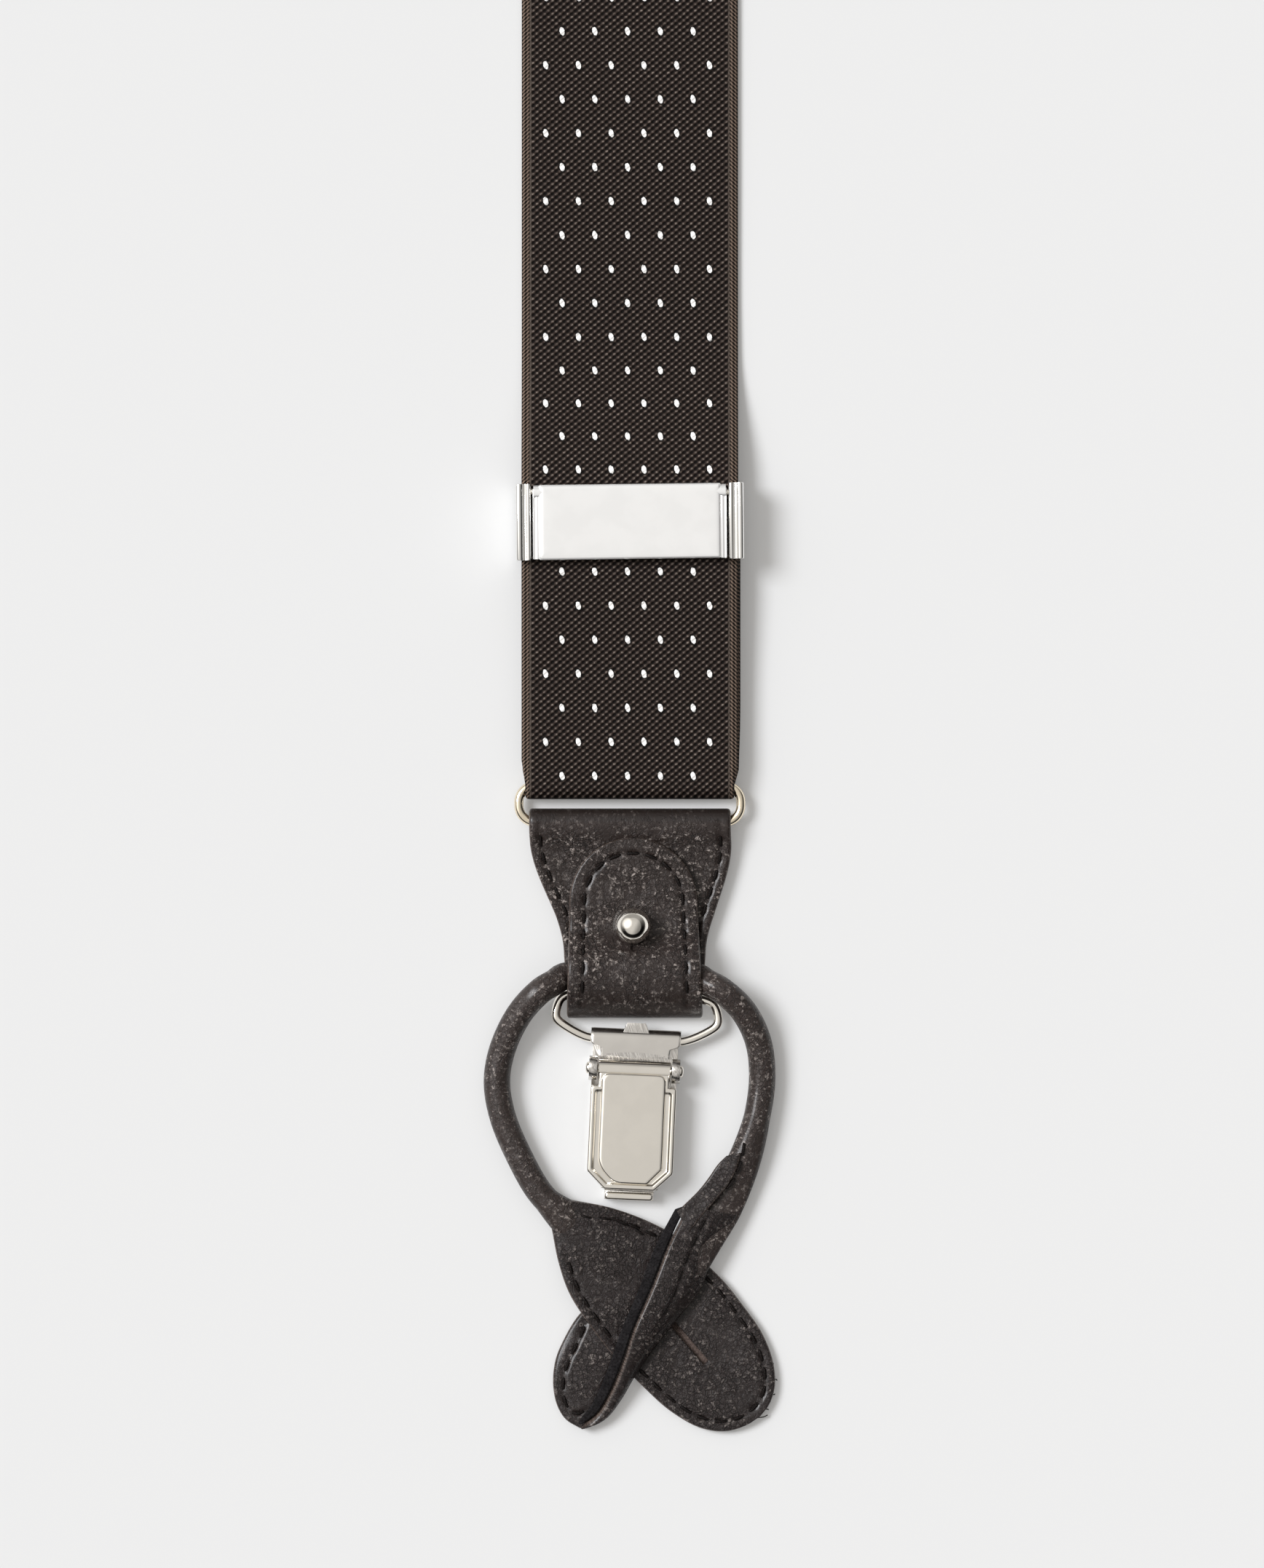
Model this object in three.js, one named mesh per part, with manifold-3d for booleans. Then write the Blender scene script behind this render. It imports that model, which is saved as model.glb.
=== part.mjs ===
// Y-back suspenders with convertible ends, laid flat and face up on Z = 0. Millimetres, +Z up.
// Two front straps with adjusters and one back strap meet in a leather back patch. Each strap
// ends in a wire ring, a leather tab with a buttoned flap, a clip on a wire bail, and a rolled
// leather loop with two buttonhole ears. Back is +Y; the front straps run towards -Y in a V.
import * as THREE from 'three';
import { mergeVertices } from 'three/addons/utils/BufferGeometryUtils.js';
import Module from 'manifold-3d';

const wasm = await Module();
wasm.setup();

// ---------------------------------------------------------------- driving dimensions

const GAP = 0.3; // between pieces that touch
const UNDERCUT = 1; // how far a cutting tool runs past the piece it cuts

const strap = {
  width: 35,
  thick: 1.2,
  frontLength: 740, // from where the strap centrelines meet to a front ring
  backLength: 150, // from the same point to the back ring
  spread: 17, // degrees from the Y axis to each front strap
  cornerCut: 2.6, // length over which the edges draw in to pass through the ring
  hem: 30, // back strap's turned-under end
};

const patch = {
  thick: 1.2,
  border: 2, // leather showing past the webbing's edges
  reach: 62, // along each front strap, from where the centrelines meet
  head: 6, // past that point, up the back strap
  overlap: 32, // length of front strap sewn in
  split: 22.5, // distance below that point where the back strap ends
};

const ring = { width: strap.width + 2.4, height: 7.5, wire: 1.5, corner: 2.4 };

const tab = {
  width: strap.width - 2.4,
  thick: 1.2,
  waist: 23,
  shoulder: 5.5, // straight sides end here, below the tab's top edge
  waistDrop: 24, // top edge to the waist
  frontDrop: 24.1, // top edge to the end of the front layer
  foldDrop: 33.65, // top edge to the bottom fold
};

const flap = {
  width: 20.6,
  footWidth: 21.6,
  thick: 1.2,
  length: 28.9, // bottom fold to the rounded tip
  slitWidth: 0.7,
  slitLength: 4.2,
};

const stud = { ball: 5.5, neck: 2.4, beyond: 3.6, baseWidth: 6, baseThick: 0.7, pocketFloor: 0.75 };

const bail = { width: 27.6, wire: 1.5, up: 3.2, drop: 6.9, side: 4, corner: 2.4, pinReach: 2.7 };

const loop = { diameter: 4.3, foldRoom: 4.65, over: 2.9, sides: 8, steps: 38 };

const ear = { thick: 1.8, slitWidth: 0.85, slitLength: 8.5 };

const adjuster = {
  centre: 45.6, // above the ring's middle
  height: 12.5,
  sheet: 0.6,
  rail: 2.5,
  barThick: 0.8,
  barWidth: 0.9,
  pin: 1,
  barrel: 2.4,
  cover: 1,
  plate: strap.width - 5.6,
  plateThick: 0.5,
  hem: 11, // turned-under end of the webbing on the rear bar
};

const clip = {
  width: 14.5,
  neck: 10.8,
  bracketDrop: 3, // pivot to the end of the bracket's front plate
  sheet: 0.6,
  base: 13.8,
  baseThick: 0.7,
  length: 26, // pivot to the end of the lip
  lip: 7.9,
  lipThick: 1.4,
  lipHeight: 2.6,
  pinDrop: 4.9,
  pinHeight: 3.4,
  pin: 1.3,
  barrel: 2.8,
  ear: 1.3,
  lever: 13.9,
  leverNeck: 11.5,
  leverNeckDrop: 7.6,
  leverDrop: 24.3,
  chamfer: 2.8,
  panel: 10.4,
  panelTop: 5.8,
  panelThick: 0.4,
  jaw: 10,
  jawTop: 10,
  jawThick: 0.6,
  jawPin: 1,
  cheek: 2.8,
  cheekThick: 0.6,
  pad: 9.2,
  padTop: 17,
  padThick: 0.7,
};

// How each end lies: the bail and clip turn a little in the fold, and sit a little to one side.
const lay = {
  left: { turn: -2.6, shift: 1.3 },
  right: { turn: 1.5, shift: -0.6 },
  back: { turn: 0, shift: 0 },
};

// ---------------------------------------------------------------- levels and places that follow

const foldInner = ring.wire / 2 + GAP;
const barHeight = Math.max(strap.thick, tab.thick) + foldInner; // wire centres, lying flat
const ringBar = ring.height / 2 - ring.wire / 2; // ring centre to each long bar
const tabTop = -ringBar + foldInner + tab.thick; // top edge of the leather, from the ring centre
const tabFoot = tabTop - tab.foldDrop;
const bailLine = tabFoot + bail.up;
const loopLine = tabFoot + loop.foldRoom + loop.diameter / 2;
const studLine = loopLine + loop.diameter + stud.beyond; // clear of the flap's slope off the loop
const tabLayer = tab.thick * 1.5 + GAP; // centre height of the tab's upper layer
const tabRise = barHeight + foldInner + tab.thick / 2 - 0.4 - tabLayer; // up from it to the top fold
const strapTop = barHeight + foldInner + strap.thick / 2; // centre height of webbing over a ring
const loopHeight = tab.thick + GAP + loop.diameter / 2;
const barGap = adjuster.barThick / 2 + GAP;
const barLevel = strap.thick + barGap; // centre height of the adjuster's rear bar
const strapRise = barLevel + barGap + strap.thick + GAP + strap.thick / 2; // webbing in an adjuster
const coverFoot = strapRise + strap.thick / 2 + GAP; // lowest metal above the webbing
const patchLayer = patch.thick + GAP + strap.thick / 2;
const padLevel = clip.baseThick + GAP;
const jawLevel = padLevel + clip.padThick + GAP + clip.jawThick / 2;
const spread = THREE.MathUtils.degToRad(strap.spread);

// ---------------------------------------------------------------- materials

const finish = (color, roughness, metalness) =>
  new THREE.MeshStandardMaterial({ color, roughness, metalness });
const webbing = finish('#3a332f', 0.9, 0);
const leather = finish('#3a3331', 0.55, 0);
const nickel = finish('#d9d4c8', 0.18, 1);
const steel = finish('#b9b5aa', 0.35, 1);
const plastic = finish('#d8d4cc', 0.5, 0);

// ---------------------------------------------------------------- solid modelling helpers

const model = new THREE.Group();

function solid(geometry) {
  const bare = geometry.clone();
  bare.deleteAttribute('normal');
  bare.deleteAttribute('uv');
  const merged = mergeVertices(bare, 1e-4);
  return new wasm.Manifold(
    new wasm.Mesh({
      numProp: 3,
      vertProperties: new Float32Array(merged.attributes.position.array),
      triVerts: new Uint32Array(merged.index.array),
    }),
  );
}

function addMesh(parent, name, body, material) {
  const data = body.getMesh();
  const geometry = new THREE.BufferGeometry();
  geometry.setAttribute('position', new THREE.BufferAttribute(data.vertProperties, 3));
  geometry.setIndex(new THREE.BufferAttribute(data.triVerts, 1));
  geometry.computeVertexNormals();
  const mesh = new THREE.Mesh(geometry, material);
  mesh.name = name;
  parent.add(mesh);
}

const turned = (x, y, z) =>
  new THREE.Matrix4().makeBasis(new THREE.Vector3(...x), new THREE.Vector3(...y), new THREE.Vector3(...z));
const SIDE_VIEW = turned([0, 1, 0], [0, 0, 1], [1, 0, 0]); // drawn in Y and Z, pulled along X

function box(x0, x1, y0, y1, z0, z1) {
  const geometry = new THREE.BoxGeometry(x1 - x0, y1 - y0, z1 - z0);
  return solid(geometry.translate((x0 + x1) / 2, (y0 + y1) / 2, (z0 + z1) / 2));
}

// A round bar along X.
function bar(diameter, x0, x1, y, z, sides = 12) {
  const geometry = new THREE.CylinderGeometry(diameter / 2, diameter / 2, x1 - x0, sides);
  return solid(geometry.rotateZ(Math.PI / 2).translate((x0 + x1) / 2, y, z));
}

// A round post along Z.
function post(diameter, x, y, z0, z1, sides = 16) {
  const geometry = new THREE.CylinderGeometry(diameter / 2, diameter / 2, z1 - z0, sides);
  return solid(geometry.rotateX(Math.PI / 2).translate(x, y, (z0 + z1) / 2));
}

// A plate from an outline in X and Y. A bevel rounds its edges within the stated thickness.
function plate(outline, z0, thick, bevel = 0) {
  const geometry = new THREE.ExtrudeGeometry(outline, {
    depth: thick - 2 * bevel,
    bevelEnabled: bevel > 0,
    bevelThickness: bevel,
    bevelSize: bevel,
    bevelOffset: -bevel,
    bevelSegments: 1,
    curveSegments: 3,
  });
  return solid(geometry.translate(0, 0, z0 + bevel));
}

const polygon = (points) => new THREE.Shape(points.map(([x, y]) => new THREE.Vector2(x, y)));

// A smooth closed outline through a few points.
function leaf(points, divisions) {
  const curve = new THREE.CatmullRomCurve3(
    points.map(([x, y]) => new THREE.Vector3(x, y, 0)),
    true,
    'centripetal',
  );
  return polygon(curve.getPoints(divisions).slice(0, -1).map((p) => [p.x, p.y]));
}

function roundedBox(width, height, radius, Kind = THREE.Shape) {
  const [x, y] = [width / 2 - radius, height / 2 - radius];
  const outline = new Kind();
  outline.absarc(x, y, radius, 0, Math.PI / 2);
  outline.absarc(-x, y, radius, Math.PI / 2, Math.PI);
  outline.absarc(-x, -y, radius, Math.PI, Math.PI * 1.5);
  outline.absarc(x, -y, radius, Math.PI * 1.5, Math.PI * 2);
  return outline;
}

// Points of a half turn round a bar: from above it, round its lower or upper side, to below it.
function halfTurn(y, z, radius, way, steps = 8) {
  return Array.from({ length: steps + 1 }, (_, i) => {
    const angle = Math.PI / 2 - (Math.PI * i) / steps;
    return [y + way * radius * Math.cos(angle), z + radius * Math.sin(angle)];
  });
}

// A band of even thickness along a centreline of [y, z] points, pulled to its width along X.
function band(points, thick, width) {
  const offset = (side) =>
    points.map(([y, z], i) => {
      const before = points[Math.max(i - 1, 0)];
      const after = points[Math.min(i + 1, points.length - 1)];
      const into = new THREE.Vector2(y - before[0], z - before[1]).normalize();
      const out = new THREE.Vector2(after[0] - y, after[1] - z).normalize();
      const along = into.clone().add(out).normalize();
      const reach = (side * thick) / 2 / (along.dot(out) || along.dot(into)); // mitred at a bend
      return [y - along.y * reach, z + along.x * reach];
    });
  const outline = polygon([...offset(1), ...offset(-1).reverse()]);
  const geometry = new THREE.ExtrudeGeometry(outline, { depth: width, bevelEnabled: false });
  return solid(geometry.translate(0, 0, -width / 2).applyMatrix4(SIDE_VIEW));
}

// Keeps the part of a body that lies inside an outline seen from above.
const within = (body, outline) => body.intersect(plate(outline, -UNDERCUT, 30));

// Round stock along a smooth path.
function rod(points, diameter, sides, steps) {
  const vectors = points.map((p) => new THREE.Vector3(...p));
  const path = new THREE.CatmullRomCurve3(vectors, false, 'centripetal');
  const section = new THREE.Shape();
  section.absarc(0, 0, diameter / 2, 0, Math.PI * 2);
  const round = polygon(section.getSpacedPoints(sides).slice(0, -1).map((p) => [p.x, p.y]));
  return solid(new THREE.ExtrudeGeometry(round, { steps, extrudePath: path, bevelEnabled: false }));
}

// ---------------------------------------------------------------- ring, tab, flap and stud

// The webbing's outline from above, with its edges drawn in where it passes through the ring.
function strapOutline(top, low) {
  const half = strap.width / 2;
  const drawn = ring.width / 2 - ring.wire - GAP * 2;
  const cut = ringBar + foldInner + strap.cornerCut;
  const side = [
    [drawn, low],
    [drawn, cut - strap.cornerCut],
    [half, cut],
    [half, top],
  ];
  return polygon([...side, ...side.map(([x, y]) => [-x, y]).reverse()]);
}

function addRing(end, name) {
  const outline = roundedBox(ring.width, ring.height, ring.corner);
  const inner = ring.wire * 2;
  outline.holes.push(
    roundedBox(ring.width - inner, ring.height - inner, ring.corner - ring.wire, THREE.Path),
  );
  const body = plate(outline, barHeight - ring.wire / 2, ring.wire, ring.wire * 0.29);
  addMesh(end, `${name}_ring`, body, nickel);
}

function tabOutline() {
  const [half, waist] = [tab.width / 2, tab.waist / 2];
  const outline = new THREE.Shape();
  outline.moveTo(-half, tabTop + UNDERCUT);
  outline.lineTo(-half, tabTop - tab.shoulder);
  outline.bezierCurveTo(-half, tabTop - 14, -waist - 1, tabTop - 14, -waist, tabTop - tab.waistDrop);
  outline.lineTo(-flap.footWidth / 2, tabFoot - UNDERCUT);
  outline.lineTo(flap.footWidth / 2, tabFoot - UNDERCUT);
  outline.lineTo(waist, tabTop - tab.waistDrop);
  outline.bezierCurveTo(waist + 1, tabTop - 14, half, tabTop - 14, half, tabTop - tab.shoulder);
  outline.lineTo(half, tabTop + UNDERCUT);
  return outline;
}

function addTab(end, name) {
  const turn = foldInner + tab.thick / 2;
  const middle = tab.thick / 2;
  const body = band(
    [
      [tabTop - tab.frontDrop, tabLayer],
      [tabTop - 4 - tabRise * 2.5, tabLayer],
      [tabTop - 4, tabLayer + tabRise],
      ...halfTurn(-ringBar, barHeight, turn, 1),
      [tabTop - 7.5, middle],
      [tabFoot + 2.6, middle],
      [tabFoot + 1.2, middle + 0.25],
    ],
    tab.thick,
    tab.width,
  );
  const pocketTop = stud.pocketFloor + stud.baseThick + 2 * GAP;
  const pocket = post(stud.baseWidth + 2 * GAP, 0, studLine, stud.pocketFloor, pocketTop);
  const hole = post(stud.neck + 2 * GAP, 0, studLine, stud.pocketFloor, tabLayer + tab.thick);
  addMesh(end, `${name}_tab`, within(body, tabOutline()).subtract(pocket).subtract(hole), leather);
}

// Centreline of the flap, from its foot in the bottom fold to its tip.
function flapLine() {
  const half = flap.thick / 2;
  const over = loopHeight + loop.diameter / 2 + GAP + half; // clears the rolled loop
  const lie = tabLayer + tab.thick / 2 + GAP + half; // lies on the tab's front layer
  const shoulder = loop.diameter / 2 + 0.05;
  const shape = [
    [tabFoot + 0.62, tab.thick * 1.5 + GAP],
    [tabFoot + 0.9, 3],
    [tabFoot + 2.3, 4.9],
    [loopLine - shoulder, over],
    [loopLine, over + 0.35],
    [loopLine + shoulder, over - 0.05],
    [loopLine + shoulder + 2.4, over - 1.8],
    [studLine - 1.2, lie + 0.05],
    [studLine + 5, lie],
    [tabFoot + flap.length - 4, lie + 0.2],
    [tabFoot + flap.length, lie + tabRise - 0.4],
  ];
  const curve = new THREE.CatmullRomCurve3(shape.map(([y, z]) => new THREE.Vector3(0, y, z)));
  return curve.getPoints(30).map((p) => [p.y, p.z]);
}

function addFlap(end, name) {
  const [half, foot] = [flap.width / 2, flap.footWidth / 2];
  const tip = tabFoot + flap.length - half;
  const outline = new THREE.Shape();
  outline.moveTo(-foot, tabFoot - UNDERCUT);
  outline.lineTo(foot, tabFoot - UNDERCUT);
  outline.lineTo(half, tip);
  outline.absarc(0, tip, half, 0, Math.PI);
  const body = within(band(flapLine(), flap.thick, flap.footWidth), outline);
  const buttonhole = post(stud.neck + 4 * GAP, 0, studLine, tabLayer, strapTop + stud.ball);
  const slit = box(
    -flap.slitWidth / 2,
    flap.slitWidth / 2,
    studLine - flap.slitLength,
    studLine,
    tabLayer + tab.thick / 2,
    strapTop + stud.ball,
  );
  addMesh(end, `${name}_flap`, body.subtract(buttonhole).subtract(slit), leather);
}

function addStud(end, name) {
  const floor = stud.pocketFloor + GAP;
  const seat = floor + stud.baseThick + GAP;
  const centre = tabLayer + tab.thick / 2 + GAP + flap.thick + stud.ball * 0.5;
  const [radius, neck] = [stud.ball / 2, stud.neck / 2];
  const start = Math.asin(neck / radius);
  const profile = [new THREE.Vector2(0, seat), new THREE.Vector2(neck, seat)];
  for (let i = 0; i <= 9; i += 1) {
    const angle = -Math.PI / 2 + start + ((Math.PI - start) * i) / 9;
    const across = i === 9 ? 0 : radius * Math.cos(angle);
    profile.push(new THREE.Vector2(across, centre + radius * Math.sin(angle)));
  }
  const ball = new THREE.LatheGeometry(profile, 16).rotateX(Math.PI / 2).translate(0, studLine, 0);
  addMesh(end, `${name}_stud`, solid(ball), nickel);
  const base = post(stud.baseWidth, 0, studLine, floor, floor + stud.baseThick);
  addMesh(end, `${name}_stud_base`, base, steel);
}

// ---------------------------------------------------------------- rolled loop and ears

// The rolled leather's route: along the fold, over the bail's corners and down to the table.
function loopRoute() {
  const [rest, fold] = [loop.diameter / 2 + 0.05, loopLine];
  const over = barHeight + bail.wire / 2 + GAP + rest + 0.15;
  return [
    [-11.2, -66.2, rest],
    [-14.6, -62.8, rest],
    [-17.9, -57, rest],
    [-20.6, -50.5, rest],
    [-21.5, -44.9, rest],
    [-20.6, -39.7, rest + 0.4],
    [-17.8, -33.9, over - 1.3],
    [-14.3, fold - loop.over + 0.4, over],
    [-12.1, fold - 1.2, loopHeight + 1.1],
    [-10.6, fold - 0.2, loopHeight + 0.05],
    [-4, fold, loopHeight],
    [4, fold, loopHeight],
    [10.7, fold - 0.2, loopHeight + 0.05],
    [12.4, fold - 1.2, loopHeight + 1.1],
    [14.8, fold - loop.over + 0.4, over],
    [18.3, -33.4, over - 1.2],
    [20.8, -38.6, rest + 0.5],
    [21.4, -44.5, rest],
    [20.6, -50.5, rest],
    [18.6, -56.6, rest],
    [15.4, -62.4, rest],
    [13.2, -66.2, rest],
  ];
}

// Flat ears. The first runs under, to the right; the second crosses over it, to the left.
const underEar = [
  [-12.2, -69.4], [-11.6, -74], [-8.6, -82.3], [0.2, -92.7], [5.8, -97.9], [11.3, -101.1],
  [16.4, -101.5], [21.6, -98.4], [23.5, -93], [22, -86.5], [15.4, -77.5], [9, -70.8],
  [2.6, -67.4], [-3.4, -65.6], [-8.6, -65],
];
const overEar = [
  [10.4, -66.8], [5, -71.6], [1.9, -78], [-3.2, -81.8], [-8.6, -83.6], [-12, -90],
  [-11.9, -96.6], [-7.4, -100.8], [-2.8, -98.3], [0.2, -92.7], [6.5, -84.4], [11.8, -76.8],
  [13.7, -71.2], [14.6, -68.6],
];

function addLoop(end, name) {
  const body = rod(loopRoute(), loop.diameter, loop.sides, loop.steps);
  addMesh(end, `${name}_rolled_loop`, body, leather);
  const slot = (x, y, degrees) =>
    box(-ear.slitWidth / 2, ear.slitWidth / 2, -ear.slitLength / 2, ear.slitLength / 2, -UNDERCUT, 9)
      .rotate([0, 0, degrees])
      .translate([x, y, 0]);
  const under = plate(leaf(underEar, 48), 0, ear.thick).subtract(slot(12.6, -88, 40));
  addMesh(end, `${name}_ear_under`, under, leather);
  const above = ear.thick + GAP;
  const over = plate(leaf(overEar, 48), above, ear.thick).subtract(slot(-6.6, -92, -25));
  addMesh(end, `${name}_ear_over`, over, leather);
}

// ---------------------------------------------------------------- bail and clip

function addBail(place, name) {
  const half = bail.width / 2 - bail.wire / 2;
  const [corner, foot] = [bail.corner, clip.width / 2 - bail.pinReach];
  const shoulder = clip.width / 2 + 0.6;
  const side = (way) => [
    [way * foot, -bail.drop],
    [way * shoulder, -bail.drop],
    [way * (half - 0.6), -bail.side - 0.6],
    [way * half, -bail.side],
    [way * half, -corner],
    [way * (half - corner * 0.3), -corner * 0.3],
    [way * (half - corner), 0],
  ];
  const flat = [...side(-1), ...side(1).reverse()];
  const body = rod(flat.map(([x, y]) => [x, y, barHeight]), bail.wire, 8, 32);
  addMesh(place, `${name}_bail`, body, nickel);
}

// The stamped frame: bracket round the bail's ends, back plate, hinge ears, jaw cheeks and lip.
function clipFrame() {
  const { sheet, baseThick } = clip;
  const turn = foldInner + sheet / 2;
  const outer = clip.width / 2;
  const wrap = band(
    [
      [-clip.bracketDrop, barHeight + turn],
      ...halfTurn(0, barHeight, turn, 1),
      [-1.2, barHeight - turn],
    ],
    sheet,
    clip.width,
  );
  const neck = clip.neck / 2;
  const shape = polygon([
    [-outer, 3], [-outer, -0.7], [-neck, -1.1], [-neck, -2.6], [0, -clip.bracketDrop],
    [neck, -2.6], [neck, -1.1], [outer, -0.7], [outer, 3],
  ]);
  const front = within(wrap, shape);
  const crown = plate(
    polygon([[-2.1, 1], [2.1, 1], [1.5, foldInner + sheet + 1], [-1.5, foldInner + sheet + 1]]),
    barHeight + foldInner - 0.35,
    sheet,
  );
  const half = clip.base / 2;
  const end = clip.length;
  const back = plate(
    polygon([
      [-half, -0.6], [-half, -end + 4.3], [-clip.lip / 2, -end + 1.4], [-clip.lip / 2, -end],
      [clip.lip / 2, -end], [clip.lip / 2, -end + 1.4], [half, -end + 4.3], [half, -0.6],
    ]),
    0,
    baseThick,
  );
  const web = box(-half, half, -1.2, -0.6, 0, barHeight - foldInner);
  const lip = box(-clip.lip / 2, clip.lip / 2, -end, -end + clip.lipThick, 0, clip.lipHeight);
  let frame = front.add(crown).add(back).add(web).add(lip);
  const inner = clip.leverNeck / 2 + GAP;
  for (const way of [-1, 1]) {
    const [x0, x1] = [inner, inner + clip.ear].map((x) => way * x).sort((a, b) => a - b);
    const lug = bar(3.9, x0, x1, -clip.pinDrop, clip.pinHeight);
    const stem = box(x0, x1, -clip.pinDrop - 1.9, -clip.pinDrop + 1.9, 0, clip.pinHeight);
    frame = frame.add(lug).add(stem);
    const beside = clip.jaw / 2 + GAP;
    const [c0, c1] = [beside, beside + clip.cheekThick].map((x) => way * x).sort((a, b) => a - b);
    const reach = clip.cheek / 2;
    const cheek = box(c0, c1, -clip.jawTop - reach, -clip.jawTop + reach, 0, jawLevel + reach);
    frame = frame.add(cheek);
  }
  const pinHole = bar(clip.pin + 2 * GAP, -outer - 1, outer + 1, -clip.pinDrop, clip.pinHeight);
  const jawHole = bar(clip.jawPin + 2 * GAP, -outer, outer, -clip.jawTop, jawLevel);
  return frame.subtract(pinHole).subtract(jawHole);
}

// The lever: a barrel on the pin and a tray-shaped cover with a raised panel.
function clipLever() {
  const [neck, half] = [clip.leverNeck / 2, clip.lever / 2];
  const [top, end] = [-clip.leverNeckDrop, -clip.leverDrop];
  const outline = polygon([
    [-neck, -clip.pinDrop], [-neck, top], [-half, top], [-half, end + clip.chamfer],
    [-half + 3, end], [half - 3, end], [half, end + clip.chamfer], [half, top], [neck, top],
    [neck, -clip.pinDrop],
  ]);
  const wall = 0.7;
  const low = jawLevel + clip.jawThick / 2 + GAP;
  const high = clip.pinHeight + clip.barrel / 2;
  const tray = plate(outline, low, high - low).subtract(
    box(-half + wall, half - wall, end + clip.chamfer, top - wall, low - UNDERCUT, high - wall),
  );
  const panelLow = end + 0.6;
  const panelMid = (-clip.panelTop + panelLow) / 2;
  const panel = roundedBox(clip.panel, -clip.panelTop - panelLow, 1.6);
  const raised = plate(panel, high - GAP, clip.panelThick + GAP).translate([0, panelMid, 0]);
  const barrel = bar(clip.barrel, -neck, neck, -clip.pinDrop, clip.pinHeight, 16);
  const hole = bar(clip.pin + 2 * GAP, -half, half, -clip.pinDrop, clip.pinHeight);
  return tray.add(raised).add(barrel).subtract(hole);
}

function clipJaw() {
  const half = clip.jaw / 2;
  const [end, level] = [-clip.leverDrop + 0.8, jawLevel];
  const low = level - clip.jawThick / 2;
  let jaw = plate(
    polygon([
      [-half, -clip.jawTop], [-half, end + 2], [-half + 1.4, end], [half - 1.4, end],
      [half, end + 2], [half, -clip.jawTop],
    ]),
    low,
    clip.jawThick,
  );
  jaw = jaw.add(bar(clip.jawPin, -half - 1, half + 1, -clip.jawTop, level, 10));
  return jaw;
}

function addClip(place, name) {
  const spot = new THREE.Group();
  spot.position.y = -bail.drop;
  place.add(spot);
  addMesh(spot, `${name}_clip_frame`, clipFrame(), steel);
  const reach = clip.leverNeck / 2 + GAP + clip.ear + 0.3;
  const pin = bar(clip.pin, -reach, reach, -clip.pinDrop, clip.pinHeight);
  addMesh(spot, `${name}_clip_pin`, pin, steel);
  addMesh(spot, `${name}_clip_lever`, clipLever(), nickel);
  addMesh(spot, `${name}_clip_jaw`, clipJaw(), steel);
  const half = clip.pad / 2;
  const low = -clip.length + clip.lipThick + GAP;
  const pad = box(-half, half, low, -clip.padTop, padLevel, padLevel + clip.padThick);
  addMesh(spot, `${name}_clip_pad`, pad, plastic);
}

// One complete end, with the ring's middle at the origin and the strap arriving from +Y.
function makeEnd(name) {
  const end = new THREE.Group();
  addRing(end, name);
  addTab(end, name);
  addFlap(end, name);
  addStud(end, name);
  addLoop(end, name);
  const place = new THREE.Group();
  place.position.set(lay[name].shift, bailLine, 0);
  place.rotation.z = THREE.MathUtils.degToRad(lay[name].turn);
  end.add(place);
  addBail(place, name);
  addClip(place, name);
  return end;
}

// ---------------------------------------------------------------- webbing and adjusters

const strapTurn = foldInner + strap.thick / 2;

// A front strap, from the back patch down through the adjuster to the ring.
function addFrontStrap(end, name, side) {
  const top = strap.frontLength - patch.overlap;
  const leave = strap.frontLength - patch.reach;
  const above = adjuster.centre + adjuster.height / 2;
  const floor = strap.thick / 2;
  const body = band(
    [
      [top, patchLayer],
      [leave - 4, patchLayer],
      [leave - 22, floor],
      [above + 26, floor],
      [above + 3, strapRise],
      [adjuster.centre - adjuster.height, strapRise],
      [ringBar + 12, strapTop],
      [ringBar + 5 + GAP, strapTop],
    ],
    strap.thick,
    strap.width,
  );
  const half = strap.width / 2;
  const meet = (distance) => side * (distance * Math.tan(spread) - GAP);
  const notch = (half + GAP) / Math.tan(spread);
  const outline = polygon([
    [-side * half, 0],
    [side * half, 0],
    [side * half, strap.frontLength - notch],
    [meet(patch.overlap), top],
    [-side * half, top],
  ]);
  addMesh(end, `${name}_webbing`, within(body, outline), webbing);
}

// The end of a front strap: round the ring, back up behind it, and sewn round the rear bar.
function addReturnStrap(end, name) {
  const turn = barGap + strap.thick / 2;
  const foot = adjuster.centre - adjuster.height / 2;
  const bend = foot + 2;
  const body = band(
    [
      [ringBar + 5, strapTop],
      ...halfTurn(ringBar, barHeight, strapTurn, -1),
      ...halfTurn(bend, barLevel, turn, 1).reverse(),
      [foot - 0.5, barLevel + turn - 0.2],
      [foot - 4, strap.thick * 1.5 + GAP],
      [foot - adjuster.hem, strap.thick * 1.5 + GAP],
    ],
    strap.thick,
    strap.width,
  );
  const outline = strapOutline(adjuster.centre + adjuster.height, -ring.height);
  addMesh(end, `${name}_return_webbing`, within(body, outline), webbing);
}

function addBackStrap(end) {
  const top = strap.backLength + patch.split;
  const leave = strap.backLength - patch.head;
  const body = band(
    [
      [top, patchLayer],
      [leave - 4, patchLayer],
      [leave - 22, strap.thick / 2],
      [ringBar + strap.hem + 18, strap.thick / 2],
      [ringBar + strap.hem + 4, strapTop - 0.6],
      [ringBar + strap.hem - 4, strapTop],
      ...halfTurn(ringBar, barHeight, strapTurn, -1),
      [ringBar + strap.hem, strap.thick / 2],
    ],
    strap.thick,
    strap.width,
  );
  addMesh(end, 'back_webbing', within(body, strapOutline(top, -ring.height)), webbing);
}

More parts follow.
